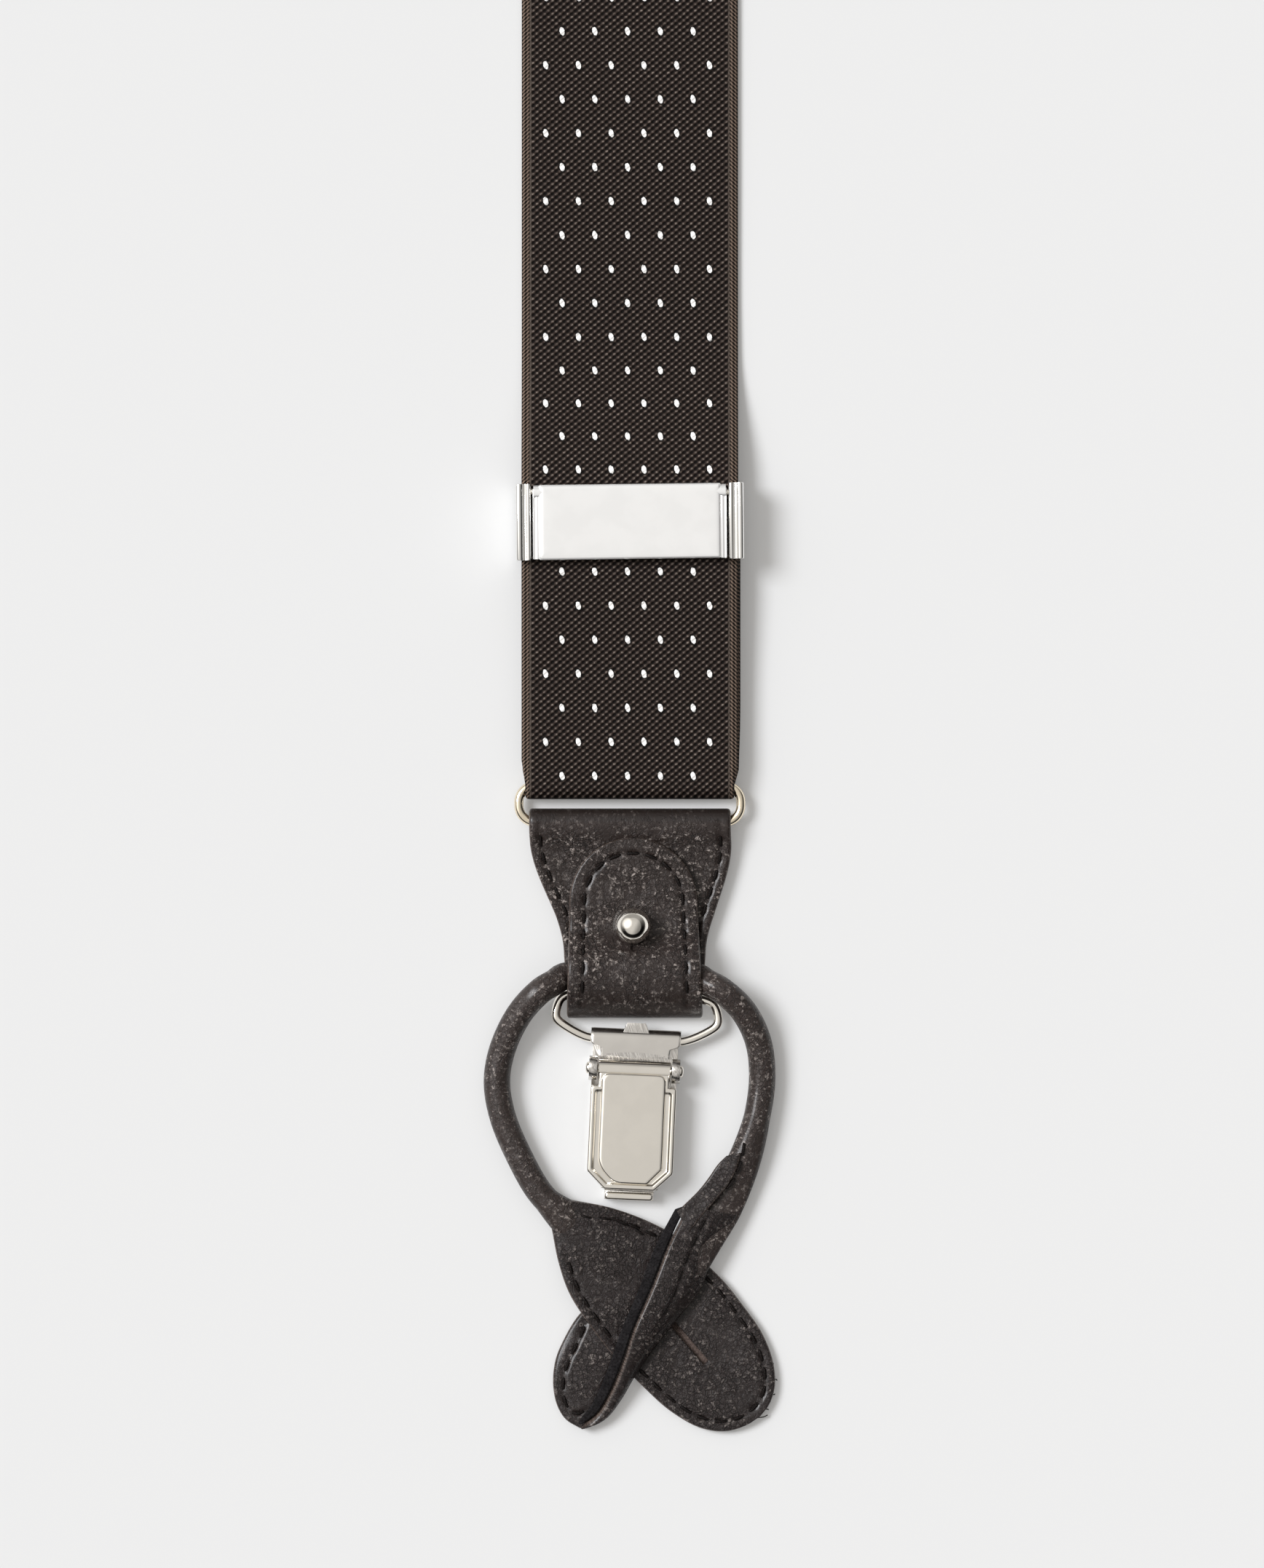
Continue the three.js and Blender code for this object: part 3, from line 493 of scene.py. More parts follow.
def frames(path, closed=False):
    """Side and normal along a line, with the normal kept near upright."""
    if closed:
        tangent = unit(np.roll(path, -1, 0) - np.roll(path, 1, 0))
    else:
        tangent = unit(np.gradient(path, axis=0))
    side = unit(np.cross(tangent, (0.0, 0.0, 1.0)))
    return side, np.cross(side, tangent)


def tube(shell, path, radius, sides=16, closed=False, shape=None, **values):
    """Round stock along a line; radius may vary. shape(across, up, angle) changes its section."""
    path = np.asarray(path, float)
    side, normal = frames(path, closed)
    angle = np.linspace(0, 2 * math.pi, sides, endpoint=False)
    radius = np.broadcast_to(np.asarray(radius, float), (len(path),))[:, None]
    across, up = radius * np.cos(angle), radius * np.sin(angle)
    if shape is not None:
        across, up = shape(across, up, angle)
    rings = path[:, None] + across[..., None] * side[:, None] + up[..., None] * normal[:, None]
    loft(shell, rings, closed=closed, **values)


EDGE_STEPS = (0.0, 0.05, 0.16, 0.34, 0.6, 0.95, 1.4, 1.8, 2.3)


def across_positions(width, columns):
    """Places across a strip of that width, close together near its edges."""
    near = np.array(EDGE_STEPS) * min(1.0, width / 7)
    inner = np.linspace(near[-1], width - near[-1], columns)[1:-1]
    return np.concatenate([near, inner, (width - near)[::-1]])


class Ribbon:
    """A strip of even thickness between two edge lines, with rounded edges."""

    def __init__(self, left, right, thick, columns=24, lift=None, edge=0.5):
        self.left, right = np.asarray(left, float), np.asarray(right, float)
        self.thick, self.columns, self.lift, self.edge = thick, columns, lift, edge
        self.middle = (self.left + right) / 2
        self.s = arc_length(self.middle)
        self.width = np.linalg.norm(right - self.left, axis=1)
        self.side = unit(right - self.left)
        tangent = unit(np.gradient(self.middle, axis=0))
        self.normal = unit(np.cross(self.side, tangent))

    def face_up(self):
        """Turns the face with the stitches upwards."""
        if self.normal[len(self.normal) // 3, 2] < 0:
            self.normal *= -1
        return self

    def build(self, shell, groove=None, flat=False, smooth=None):
        """Adds the strip; flat measures its UVs and grooves from above, not along the strip."""
        top, low, spots, rims = [], [], [], []
        for i, width in enumerate(self.width):
            x = across_positions(max(width, 0.02), self.columns)
            rim = np.minimum(x, width - x).clip(0)
            radius = min(self.edge, self.thick / 2, max(width / 2, 0.01))
            fall = radius - np.sqrt(np.maximum(radius**2 - (radius - rim).clip(0) ** 2, 0))
            height = self.thick / 2 - fall
            t = x / max(width, 1e-6) * 2 - 1
            extra = self.lift(t, self.s[i] / self.s[-1]) if self.lift else 0
            base = self.left[i] + x[:, None] * self.side[i]
            spot = np.stack([x - width / 2, np.full_like(x, self.s[i])], 1)
            if flat:
                spot = base[:, :2]
            sink = groove(spot) if groove else 0
            up = self.normal[i]
            top.append(base + (extra + height + sink)[:, None] * up)
            low.append(base + (extra - height)[:, None] * up)
            spots.append(spot)
            rims.append(rim)
        top, low = np.array(top), np.array(low)[:, ::-1]
        uv = np.array(spots)
        rings = np.concatenate([top, low[:, 1:-1]], 1)
        uvs = np.concatenate([uv, uv[:, ::-1][:, 1:-1], uv[:, :1]], 1)
        rims = np.array(rims)
        rim = np.concatenate([rims, rims[:, ::-1][:, 1:-1]], 1)
        calm = 0.0
        if smooth is not None:
            calm = np.repeat(smooth(self.s)[:, None], rings.shape[1], 1)
        loft(shell, rings, uvs, rim=rim, smooth=calm)

    def place(self, x, s, height=0.0):
        """The point at x from the middle line and s along it, height above the face."""
        s = np.clip(s, 0, self.s[-1])
        at = lambda a: np.stack([np.interp(s, self.s, a[:, k]) for k in range(3)], -1)
        lift = self.thick / 2 + height
        return at(self.middle) + x[..., None] * at(self.side) + lift[..., None] * at(self.normal)


def straight(path, half, **settings):
    """A ribbon whose middle line lies in the v-z plane. half is one value or a function of v."""
    path = np.asarray(path, float)
    widths = half(path[:, 0]) if callable(half) else np.full(len(path), half)
    shift = settings.pop("shift", 0.0)
    shift = shift(path[:, 0]) if callable(shift) else shift
    left = np.stack([shift - widths, path[:, 0], path[:, 1]], 1)
    right = np.stack([shift + widths, path[:, 0], path[:, 1]], 1)
    return Ribbon(left, right, **settings)


def half_turn(v, z, radius, way, steps=12):
    angle = math.pi / 2 - np.linspace(0, math.pi, steps + 1)
    return list(zip(v + way * radius * np.cos(angle), z + radius * np.sin(angle)))


STITCH = 3.0  # one stitch and its gap
STITCH_LENGTH = 1.8
THREAD_RADIUS = 0.22


def stitch_row(length):
    """Middles of the stitches that fill a line of that length."""
    count = max(1, int(length // STITCH))
    return (length - (count - 1) * STITCH) / 2 + STITCH * np.arange(count)


def sew(shell, line, place):
    """Stitches along a flat line of (x, s) points; place maps them onto the leather."""
    dip = np.array([-0.42, -0.12, -0.02, 0.0, -0.02, -0.12, -0.42])
    along = np.array([-0.5, -0.46, -0.25, 0, 0.25, 0.46, 0.5]) * STITCH_LENGTH
    s = arc_length(line)
    for middle in stitch_row(s[-1]):
        x, y = (np.interp(middle + along, s, line[:, k]) for k in (0, 1))
        tube(shell, place(x, y, dip), THREAD_RADIUS, sides=6)


def groove_for(lines, depth=0.42, wide=0.36):
    """How far the leather sinks under the stitches, from flat (x, s) places."""

    def sink(spot):
        total = np.zeros(len(spot))
        for line in lines:
            s = arc_length(line)
            a, b = line[:-1], line[1:]
            d = b - a
            t = np.einsum("ijk,jk->ij", spot[:, None] - a, d) / np.maximum((d**2).sum(1), 1e-9)
            t = t.clip(0, 1)
            far = np.linalg.norm(spot[:, None] - (a + t[..., None] * d), axis=2)
            near = far.argmin(1)
            rows = np.arange(len(spot))
            gap = far[rows, near]
            at = s[near] + t[rows, near] * np.linalg.norm(d, axis=1)[near]
            beat = 0.5 + 0.5 * np.cos(2 * math.pi * (at - stitch_row(s[-1])[0]) / STITCH)
            total -= depth * np.exp(-((gap / wide) ** 2)) * (0.35 + 0.65 * beat)
            total += 0.06 * np.exp(-(((gap - 0.95) / 0.5) ** 2))
        return total

    return sink


def dress(node_name, material, width):
    """Gives a carried-over CAD node its material and rounds its edges."""
    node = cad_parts[node_name]
    node.data.materials.clear()
    node.data.materials.append(material)
    node.modifiers.new("weld", "WELD").merge_threshold = 1e-6
    bevel = node.modifiers.new("bevel", "BEVEL")
    bevel.width = width * MM
    bevel.segments = 3
    bevel.limit_method = "ANGLE"
    bevel.angle_limit = math.radians(35)
    bevel.harden_normals = True
    node.data.polygons.foreach_set("use_smooth", [True] * len(node.data.polygons))


def keep(piece, body, slot, *nodes):
    """Rides a finished piece on its body and lets it stand for its CAD nodes."""
    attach(piece, body)
    if nodes:
        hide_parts(*nodes)


# ---------------------------------------------------------------- webbing

WEBBING_CUT = {"thick": STRIP, "columns": 12, "edge": 0.55}
STRAP_TOP = 3.9  # middle of the webbing where it comes off the ring
STRAP_RISE = 4.7  # and where it goes through the adjuster
HUB_LEVEL = 2.1  # and between the patch's two leathers
PATCH_LEG = 62  # from the patch's centre to the ends of its two legs
PATCH_RISE = 6  # and to its top edge
WAIST, WAIST_NORMAL = (22.3, -27.25), (26.35, 13.3)  # a line just inside the patch's side


def web_half(v):
    """Half width, drawn in a little where the webbing goes through the ring."""
    return np.interp(v, [3.4, 5.4], [16.9, WEB_HALF])


def front_webbing(name, side):
    """The long run from the patch to the adjuster, then the run through the ring and back."""
    place = end_matrix(name)
    leave = FRONT_LENGTH - PATCH_LEG
    join = ADJUSTER - 1.0
    stations = np.vstack([
        catmull([
            (join, STRAP_RISE), (ADJUSTER + 5.6, STRAP_RISE - 0.15),
            (ADJUSTER + 7, STRAP_RISE - 0.22), (ADJUSTER + 11, 4.05), (ADJUSTER + 24, 1.1),
            (ADJUSTER + 32, 0.65), (ADJUSTER + 60, LOW_LAYER),
        ], 8),
        [(v, LOW_LAYER) for v in np.arange(ADJUSTER + 70, leave - 26, 9.0)],
        catmull([
            (leave - 22, LOW_LAYER), (leave - 17, 0.8), (leave - 8, 2.0), (leave - 3, HUB_LEVEL),
            (leave + 6, HUB_LEVEL),
        ], 5),
        [(v, HUB_LEVEL) for v in np.linspace(leave + 10, FRONT_LENGTH - 32, 6)],
    ])
    shell = Shell()
    straight(stations, WEB_HALF, **WEBBING_CUT).build(shell)
    run = shell.make(f"{name}_webbing_run", place, WEBBING[name], "Strap")
    trim_under_patch(run, side)
    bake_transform(run)
    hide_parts(f"{name}_webbing")

    path = np.vstack([
        [(join, STRAP_RISE - 0.02)],
        catmull([
            (ADJUSTER - 5, STRAP_RISE), (ADJUSTER - 12, 4.65), (ADJUSTER - 22, 4.1),
            (14, STRAP_TOP), (7, STRAP_TOP + 0.02),
        ], 7),
        half_turn(3.0, BAR_HEIGHT, FOLD, -1),
        catmull([
            (5.5, LOW_LAYER), (12, LOW_LAYER), (ADJUSTER - 12, LOW_LAYER),
            (ADJUSTER - 4.35, LOW_LAYER),
        ], 5),
        half_turn(ADJUSTER - 4.25, 1.9, 1.3, 1)[::-1][1:],
        catmull([
            (ADJUSTER - 5.8, 3.15), (ADJUSTER - 8, 2.7), (ADJUSTER - 10.5, 2.12),
            (ADJUSTER - 17.2, 2.1),
        ], 4),
    ])
    shell = Shell()
    straight(path, web_half, **WEBBING_CUT).build(shell)
    back = shell.make(f"{name}_webbing_return", place, WEBBING[name], "Strap")
    shift_rear(back, name)
    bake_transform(back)
    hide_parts(f"{name}_return_webbing")


def shift_rear(piece, name):
    """The lower layer lies slightly to the right of the one above it."""
    place = end_matrix(name)
    back = place.inverted()
    for vert in piece.data.vertices:
        local = back @ vert.co
        share = min(1.0, max(0.0, (3.3 - local.z) / 1.5))
        if 1.5 < local.y < 40:
            local.x += 0.4 * share * min(1.0, (local.y - 1.5) / 12)
            vert.co = place @ local


def patch_centre():
    low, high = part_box("patch_back")
    return Vector(((low.x + high.x) / 2, high.y - PATCH_RISE * MM, 0))


def trim_under_patch(piece, side):
    """Cuts a front strap along the patch's middle and inside the patch's waist."""
    centre = patch_centre()
    middle = (centre.x - side * 0.3 * MM, 0, 0)
    waist = (centre.x - side * WAIST[0] * MM, centre.y + WAIST[1] * MM, 0)
    slope = (-side * WAIST_NORMAL[0], WAIST_NORMAL[1], 0)
    mesh = bmesh.new()
    mesh.from_mesh(piece.data)
    for spot, normal in ((middle, (side, 0, 0)), (waist, slope)):
        bmesh.ops.bisect_plane(
            mesh, geom=mesh.verts[:] + mesh.edges[:] + mesh.faces[:], plane_co=spot,
            plane_no=normal, clear_outer=True,
        )
        bmesh.ops.holes_fill(mesh, edges=mesh.edges[:])
    mesh.to_mesh(piece.data)
    mesh.free()


def back_webbing():
    """The rear run: from the patch, round its ring and a short way back."""
    leave = BACK_LENGTH - PATCH_RISE
    path = np.vstack([
        [(BACK_LENGTH + 22.5, HUB_LEVEL), (leave + 8, HUB_LEVEL)],
        catmull([
            (leave - 1, HUB_LEVEL), (leave - 8, 1.9), (leave - 18, 0.75), (leave - 24, LOW_LAYER),
        ], 5),
        [(v, LOW_LAYER) for v in np.arange(leave - 32, 56, -8.0)],
        catmull([
            (52, 0.62), (46, 1.1), (38, 3.0), (31, 3.85), (20, STRAP_TOP), (7, STRAP_TOP),
        ], 6),
        half_turn(3.0, BAR_HEIGHT, FOLD, -1),
        catmull([(5.5, LOW_LAYER), (14, LOW_LAYER), (33, LOW_LAYER)], 5),
    ])
    shell = Shell()
    straight(path, web_half, **WEBBING_CUT).build(shell)
    piece = shell.make("back_webbing_run", end_matrix("back"), WEBBING["back"], "Strap")
    keep(piece, "root", "webbing", "back_webbing")


# ---------------------------------------------------------------- ring, tab, flap, stud


def add_ring(name):
    half_u, half_v, corner = 37.4 / 2 - WIRE, 3.0, 2.7
    line = []
    for k, (right, up) in enumerate(((1, 1), (-1, 1), (-1, -1), (1, -1))):
        for a in np.radians(np.linspace(90 * k, 90 * k + 90, 11)):
            line.append((right * (half_u - corner) + corner * math.cos(a),
                         up * (half_v - corner) + corner * math.sin(a), BAR_HEIGHT))
    shell = Shell()
    tube(shell, line, WIRE, sides=20, closed=True)
    piece = shell.make(f"{name}_ring_wire", end_matrix(name), RING_METAL)
    keep(piece, f"{name}_link", "nickel", f"{name}_ring")


TAB_SEAM = 1.75  # from the seams to the edges
FLAP_SEAM = 2.4


def tab_half(v):
    """Half width of the tab at v: straight, then an S curve in to the waist."""
    t = np.clip((TAB_TOP - 5.2 - v) / 18.6, 0, 1)
    curve = 16.3 + (11.45 - 16.3) * (t * t * (3 - 2 * t))
    low = np.interp(v, [TAB_FOOT, TAB_TOP - 24], [10.75, 11.45])
    return np.where(v < TAB_TOP - 23.8, low, curve)


def add_tab(name):
    place = end_matrix(name)
    path = np.vstack([
        even(catmull([
            (TAB_TOP - 24.1, 2.1), (TAB_TOP - 15, 2.1), (TAB_TOP - 9, 2.12), (TAB_TOP - 6, 2.5),
            (TAB_TOP - 3.9, 3.35),
        ], 8), step=0.55),
        half_turn(-3.0, BAR_HEIGHT, FOLD, 1, 14),
        even(catmull([
            (TAB_TOP - 4.5, LOW_LAYER), (TAB_TOP - 12, LOW_LAYER), (TAB_FOOT + 3.3, LOW_LAYER),
        ], 8), step=1.0),
    ])
    drift = lambda v: 0.8 * np.clip((-4 - v) / 14, 0, 1)
    ribbon = straight(path, tab_half, thick=STRIP, columns=56, edge=0.55, shift=drift)
    lines = []
    for way in (-1, 1):
        v = np.linspace(TAB_TOP - 22, TAB_TOP - 2.6, 60)
        slope = np.gradient(tab_half(v), v)
        x = way * (tab_half(v) - TAB_SEAM * np.sqrt(1 + slope**2))
        lines.append(np.stack([x, s_of_front(path, ribbon, v)], 1))
    groove = groove_for(lines)
    front = ribbon.s[-1] * 0.5
    only_front = lambda spot: groove(spot) * (spot[:, 1] < front)
    # the fold is smooth, and at its full value its colour also takes painted shade
    near_fold = lambda s: np.clip((s - 19.5) / 3.0, 0, 1) * (s < 30)
    shell = Shell()
    ribbon.build(shell, groove=only_front, smooth=near_fold)
    tab = shell.make(f"{name}_tab_leather", place, LEATHER)
    keep(tab, f"{name}_leather", "leather", f"{name}_tab")
    threads = Shell()
    for line in lines:
        sew(threads, line, ribbon.place)
    keep(threads.make(f"{name}_tab_stitching", place, THREAD), f"{name}_leather", "leather")


def s_of_front(path, ribbon, v):
    """Distance along the strip of the places at v on its front layer."""
    last = int(np.argmax(path[:, 0]))
    return np.interp(v, path[:last, 0], ribbon.s[:last])


FLAP_HALF, FLAP_FOOT = 10.35, 11.0  # half width of its round end and of its foot
FLAP_LENGTH = 28.9
FLAP_SHIFT = 0.47  # the flap and its stud sit a little to the right


def flap_half(v):
    tip = TAB_FOOT + FLAP_LENGTH
    centre = tip - FLAP_HALF
    body = np.interp(v, [TAB_FOOT, centre], [FLAP_FOOT, FLAP_HALF])
    round_ = np.sqrt(np.maximum(FLAP_HALF**2 - (v - centre).clip(0) ** 2, 0))
    foot = 0.9 - np.sqrt(np.maximum(0.81 - (TAB_FOOT + 0.6 - v).clip(0, 0.9) ** 2, 0))
    return np.where(v > centre, round_, body - foot)


def add_flap(name):
    place = end_matrix(name)
    tip = TAB_FOOT + FLAP_LENGTH
    line = catmull([
        (TAB_FOOT + 3.9, 0.62), (TAB_FOOT + 1.3, 0.64), (TAB_FOOT + 0.45, 1.25),
        (TAB_FOOT + 0.35, 2.2), (TAB_FOOT + 0.9, 3.4), (TAB_FOOT + 2.4, 5.2), (TAB_FOOT + 4.6, 6.55),
        (TAB_FOOT + 6.9, 6.95), (TAB_FOOT + 9.2, 6.5), (TAB_FOOT + 11.6, 4.95),
        (TAB_FOOT + 13.6, 3.75), (TAB_FOOT + 19.6, 3.62), (tip - 4, 3.75), (tip - 0.02, 4.15),
    ], 10)
    path = even(line, step=0.5)
    s = arc_length(path)
    # stations crowd towards the tip, where the outline turns fastest
    tail = s[-1] - (1 - np.cos(np.linspace(math.pi / 2, 0, 16))) * 3.2
    at = np.concatenate([s[s < s[-1] - 3.3], tail])
    path = np.stack([np.interp(at, s, path[:, k]) for k in range(2)], 1)
    drift = lambda v: np.interp(v, [TAB_FOOT, tip], [0.8, FLAP_SHIFT])
    ribbon = straight(path, flap_half, thick=STRIP, columns=44, edge=0.5, shift=drift)
    centre, radius = tip - FLAP_HALF, FLAP_HALF - FLAP_SEAM
    v = np.linspace(TAB_FOOT + 2.5, centre, 40)
    leg = np.stack([flap_half(v) - FLAP_SEAM, v], 1)
    arc = [(radius * math.cos(a), centre + radius * math.sin(a))
           for a in np.linspace(math.pi, 0, 60)[1:-1]]
    outline = np.vstack([leg * (-1, 1), arc, leg[::-1]])
    first = int(np.argmax(path[:, 1] > 3))
    to_s = lambda y: np.interp(y, path[first:, 0], ribbon.s[first:])
    outline[:, 1] = to_s(outline[:, 1])
    groove = groove_for([outline])
    slit_at = to_s(STUD_LINE)

    def sink(spot):
        """The seam's groove, the slit below the stud and the dish that the ball presses in."""
        x, s = spot[:, 0], spot[:, 1] - slit_at
        cut = np.exp(-((x / 0.28) ** 2)) * ((s < 0.5) & (s > -5.0)) * 0.7
        dish = 0.3 * np.exp(-((x**2 + s**2) / 14))
        return groove(spot) - cut - dish

    shell = Shell()
    ends = lambda s: 0.85 * np.clip((9.4 - s) / 3.5, 0, 1)
    ribbon.build(shell, groove=sink, smooth=ends)
    flap = shell.make(f"{name}_flap_leather", place, LEATHER)
    threads = Shell()
    sew(threads, outline, ribbon.place)
    sewn = threads.make(f"{name}_flap_stitching", place, THREAD)
    for piece in (flap, sewn):
        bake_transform(piece)
    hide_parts(f"{name}_flap")


def lathe(shell, profile, centre, sides=40):
    """Turns a profile of (radius, z) points about Z."""
    angle = np.linspace(0, 2 * math.pi, sides, endpoint=False)
    rings = [[(centre[0] + r * math.cos(a), centre[1] + r * math.sin(a), z) for a in angle]
             for r, z in profile]
    loft(shell, np.array(rings), caps=True)


def add_stud(name):
    radius, middle = 2.9, 6.8
    waist = [(2.0, 1.75), (1.2, 2.0), (1.15, 3.6), (1.15, 4.35)]
    ball = [(radius * math.cos(a), middle + radius * math.sin(a))
            for a in np.radians(np.linspace(-62, 89.5, 30))]
    shell = Shell()
    lathe(shell, waist + ball, (FLAP_SHIFT, STUD_LINE))
    piece = shell.make(f"{name}_stud_ball", end_matrix(name), NICKEL, sharp=50)
    keep(piece, f"{name}_leather", "nickel", f"{name}_stud")
    dress(f"{name}_stud_base", STEEL, 0.12)


# ---------------------------------------------------------------- rolled loop and ears

ROUTE = [
    (-11.2, -66.2, 2.2), (-14.6, -62.8, 2.2), (-17.9, -57, 2.2), (-20.6, -50.5, 2.2),
    (-21.5, -44.9, 2.2), (-20.6, -39.7, 2.6), (-17.8, -33.9, 4.35), (-14.3, -30.1, 5.65),
    (-12.1, -28.8, 4.75), (-10.6, -27.8, 3.7), (-4, -27.6, 3.65), (4, -27.6, 3.65),
    (10.7, -27.8, 3.7), (12.4, -28.8, 4.75), (14.8, -30.1, 5.65), (18.3, -33.4, 4.45),
    (20.8, -38.6, 2.7), (21.4, -44.5, 2.2), (20.6, -50.5, 2.2), (18.9, -56.6, 2.2),
    (16.6, -62.0, 2.2), (14.2, -66.4, 2.4),
]
ROPE = 2.15  # radius of the rolled leather
ROPE_START = [(-4.5, -70.6, 1.7), (-8.2, -68.4, 1.95)]
ROPE_END = [(11.6, -70.6, 3.0), (9.0, -75.0, 3.3)]


def add_loop(name):
    """The roll, flattened at its start and opened out on one side near its end."""
    place = end_matrix(name)
    body = f"{name}_runner"
    path = even(catmull(ROPE_START + ROUTE + ROPE_END, 10), step=0.7)
    s = arc_length(path)
    opening = np.clip((s - (s[-1] - 27)) / 16, 0, 1)
    flare = np.clip((11 - s) / 11, 0, 1)
    high = ROPE * (1 - 0.72 * flare**1.3) * (1 - 0.42 * opening)
    wide = ROPE * (1 + 1.1 * flare) * (1 + 0.55 * opening)

    def shape(across, up, angle):
        a, u = across / ROPE, up / ROPE
        left_side = np.clip(-a, 0, 1)
        lip = 1 - 0.30 * opening[:, None] * left_side
        lap = 0.05 * np.exp(-(((angle[None] - 2.0) / 0.22) ** 2))
        return a * wide[:, None] * (1 + lap), u * high[:, None] * lip * (1 - lap)

    shell = Shell()
    tube(shell, path, np.full(len(path), ROPE), sides=40, shape=shape, rim=9.0, smooth=0.35)
    piece = shell.make(f"{name}_rolled_leather", place, SMOOTH_LEATHER, sharp=60)
    keep(piece, body, "leather", f"{name}_rolled_loop")
    add_ears(name, place, body)


def edge_line(points, count=60):
    return even(catmull(points, 8), count)


def add_strip(label, place, ribbon, material, body, *nodes, **settings):
    """One leather piece made of one strip."""
    shell = Shell()
    ribbon.build(shell, **settings)
    keep(shell.make(label, place, material), body, "leather", *nodes)


def add_ears(name, place, body):
    add_leaf(name, place, body)
    add_band(name, place, body)
    threads = Shell()
    add_face(threads, name, place, body)
    add_tip(threads, name, place, body)
    sew_roll(threads)
    keep(threads.make(f"{name}_ear_over_stitching", place, THREAD), body, "leather")
    add_opened_edge(name, place, body)


def add_leaf(name, place, body):
    """The left leg's ear, lying under and to the right."""
    lower = edge_line([
        (-13.6, -65.4, 1.7), (-12.7, -68.5, 1.8), (-11.6, -74, 2.2), (-9.8, -79.2, 2.7),
        (-6.6, -84.2, 2.7), (-2.6, -89.4, 2.0), (2.4, -94.6, 1.1), (6.4, -98.2, 0.95),
        (11.3, -101, 0.9), (15.4, -101.6, 0.9), (18.9, -100.6, 0.9), (21.0, -99.2, 0.9),
    ])
    upper = edge_line([
        (-9.9, -64.0, 2.3), (-3.2, -65.3, 2.0), (3.7, -67.9, 1.4), (8.5, -70.7, 1.1),
        (12.7, -74.8, 0.95), (15.4, -77.5, 0.95), (18.3, -81.2, 0.9), (21.3, -85.5, 0.9),
        (23.1, -90, 0.9), (23.5, -94.1, 0.9), (22.6, -97.2, 0.9), (21.2, -99.0, 0.9),
    ])
    swell = lambda t, s: 0.9 * np.exp(-((s / 0.22) ** 2)) * np.cos(t * math.pi / 2).clip(0)
    leaf = Ribbon(lower, upper, 1.5, columns=44, lift=swell, edge=0.5).face_up()
    outline = np.vstack([lower[8:], upper[::-1][:-6]])[:, :2]
    seam = inset_line(outline, 1.6, (5.0, -85.0))
    slit = np.array([(6.6, -83.8), (12.3, -90.4)])
    shell = Shell()
    leaf.build(shell, groove=groove_for([seam]), flat=True)
    made = shell.make(f"{name}_ear_under_leather", place, EAR_LEATHER)
    cut_slit(made, place, *slit, 0.52)
    keep(made, body, "leather", f"{name}_ear_under")
    ends = np.column_stack([slit, (0.75, 0.75)]) + [(-0.4, 0.5, 0), (0.3, -0.4, 0)]
    across = np.array([0.53, 0.46, 0.0])
    lining = Ribbon(even(ends - across, 12), even(ends + across, 12), 0.5, columns=4)
    add_strip(f"{name}_ear_slit_lining", place, lining, SLIT_LINING, body)
    surface = Surface(leaf)
    threads = Shell()
    sew(threads, seam, surface.place)
    top_seam = [(-9.5, -66.0), (-6.5, -66.9), (-3.0, -67.2), (0.5, -68.6), (3.6, -70.8)]
    sew(threads, catmull(top_seam, 8), surface.place)
    add_frayed_ends(threads)
    keep(threads.make(f"{name}_ear_under_stitching", place, THREAD), body, "leather")


def add_band(name, place, body):
    """The raw edge of the right leg's strip, which is turned on edge where it crosses over."""
    left = edge_line([
        (7.3, -65.6, 4.0), (4.2, -71.4, 4.7), (1.5, -78.3, 5.2), (-1.4, -85.2, 5.1),
        (-3.1, -90.0, 4.4), (-4.9, -94.6, 3.2), (-6.6, -97.8, 2.2), (-8.6, -100.1, 1.5),
    ])
    right = edge_line([
        (9.0, -65.0, 4.3), (6.1, -71.2, 5.1), (3.4, -78.1, 5.6), (0.4, -85.0, 5.5),
        (-1.2, -89.9, 4.8), (-3.2, -94.9, 3.5), (-5.4, -98.6, 2.3), (-8.0, -100.6, 1.5),
    ])
    band = Ribbon(left, right, 0.7, columns=8, edge=0.3).face_up()
    add_strip(f"{name}_ear_raw_edge", place, band, RAW_EDGE, body)


def add_face(threads, name, place, body):
    """The right leg's strip beside its raw edge, running down over the leaf."""
    right = edge_line([
        (17.4, -66.6, 2.3), (14.6, -70.2, 2.3), (12.8, -72.8, 2.3), (12.5, -75.4, 2.4),
        (10.9, -79.2, 2.6), (7.8, -83.0, 2.6), (4.4, -87.2, 2.4), (0.6, -92.4, 1.9),
        (-1.6, -96.2, 1.4), (-4.1, -99.4, 1.1), (-7.6, -101.1, 1.05),
    ])
    inner = edge_line([
        (9.4, -64.9, 3.9), (6.3, -71.2, 4.8), (3.6, -78.1, 5.3), (0.6, -85.0, 5.2),
        (-1.0, -89.9, 4.5), (-3.0, -94.9, 3.2), (-5.2, -98.6, 2.0), (-8.0, -100.7, 1.15),
    ])
    puff = lambda t, s: 0.7 * np.cos(t * math.pi / 2).clip(0) * (1 - 0.4 * s)
    face = Ribbon(inner, right, 1.3, columns=26, lift=puff, edge=0.45).face_up()
    seam = catmull([(13.0, -65.6), (10.9, -69.4), (8.6, -74.6), (6.6, -80.0), (4.2, -84.0)], 8)
    add_strip(f"{name}_ear_over_leather", place, face, EAR_LEATHER, body, f"{name}_ear_over",
              groove=groove_for([seam], depth=0.16), flat=True)
    sew(threads, seam, Surface(face).place)


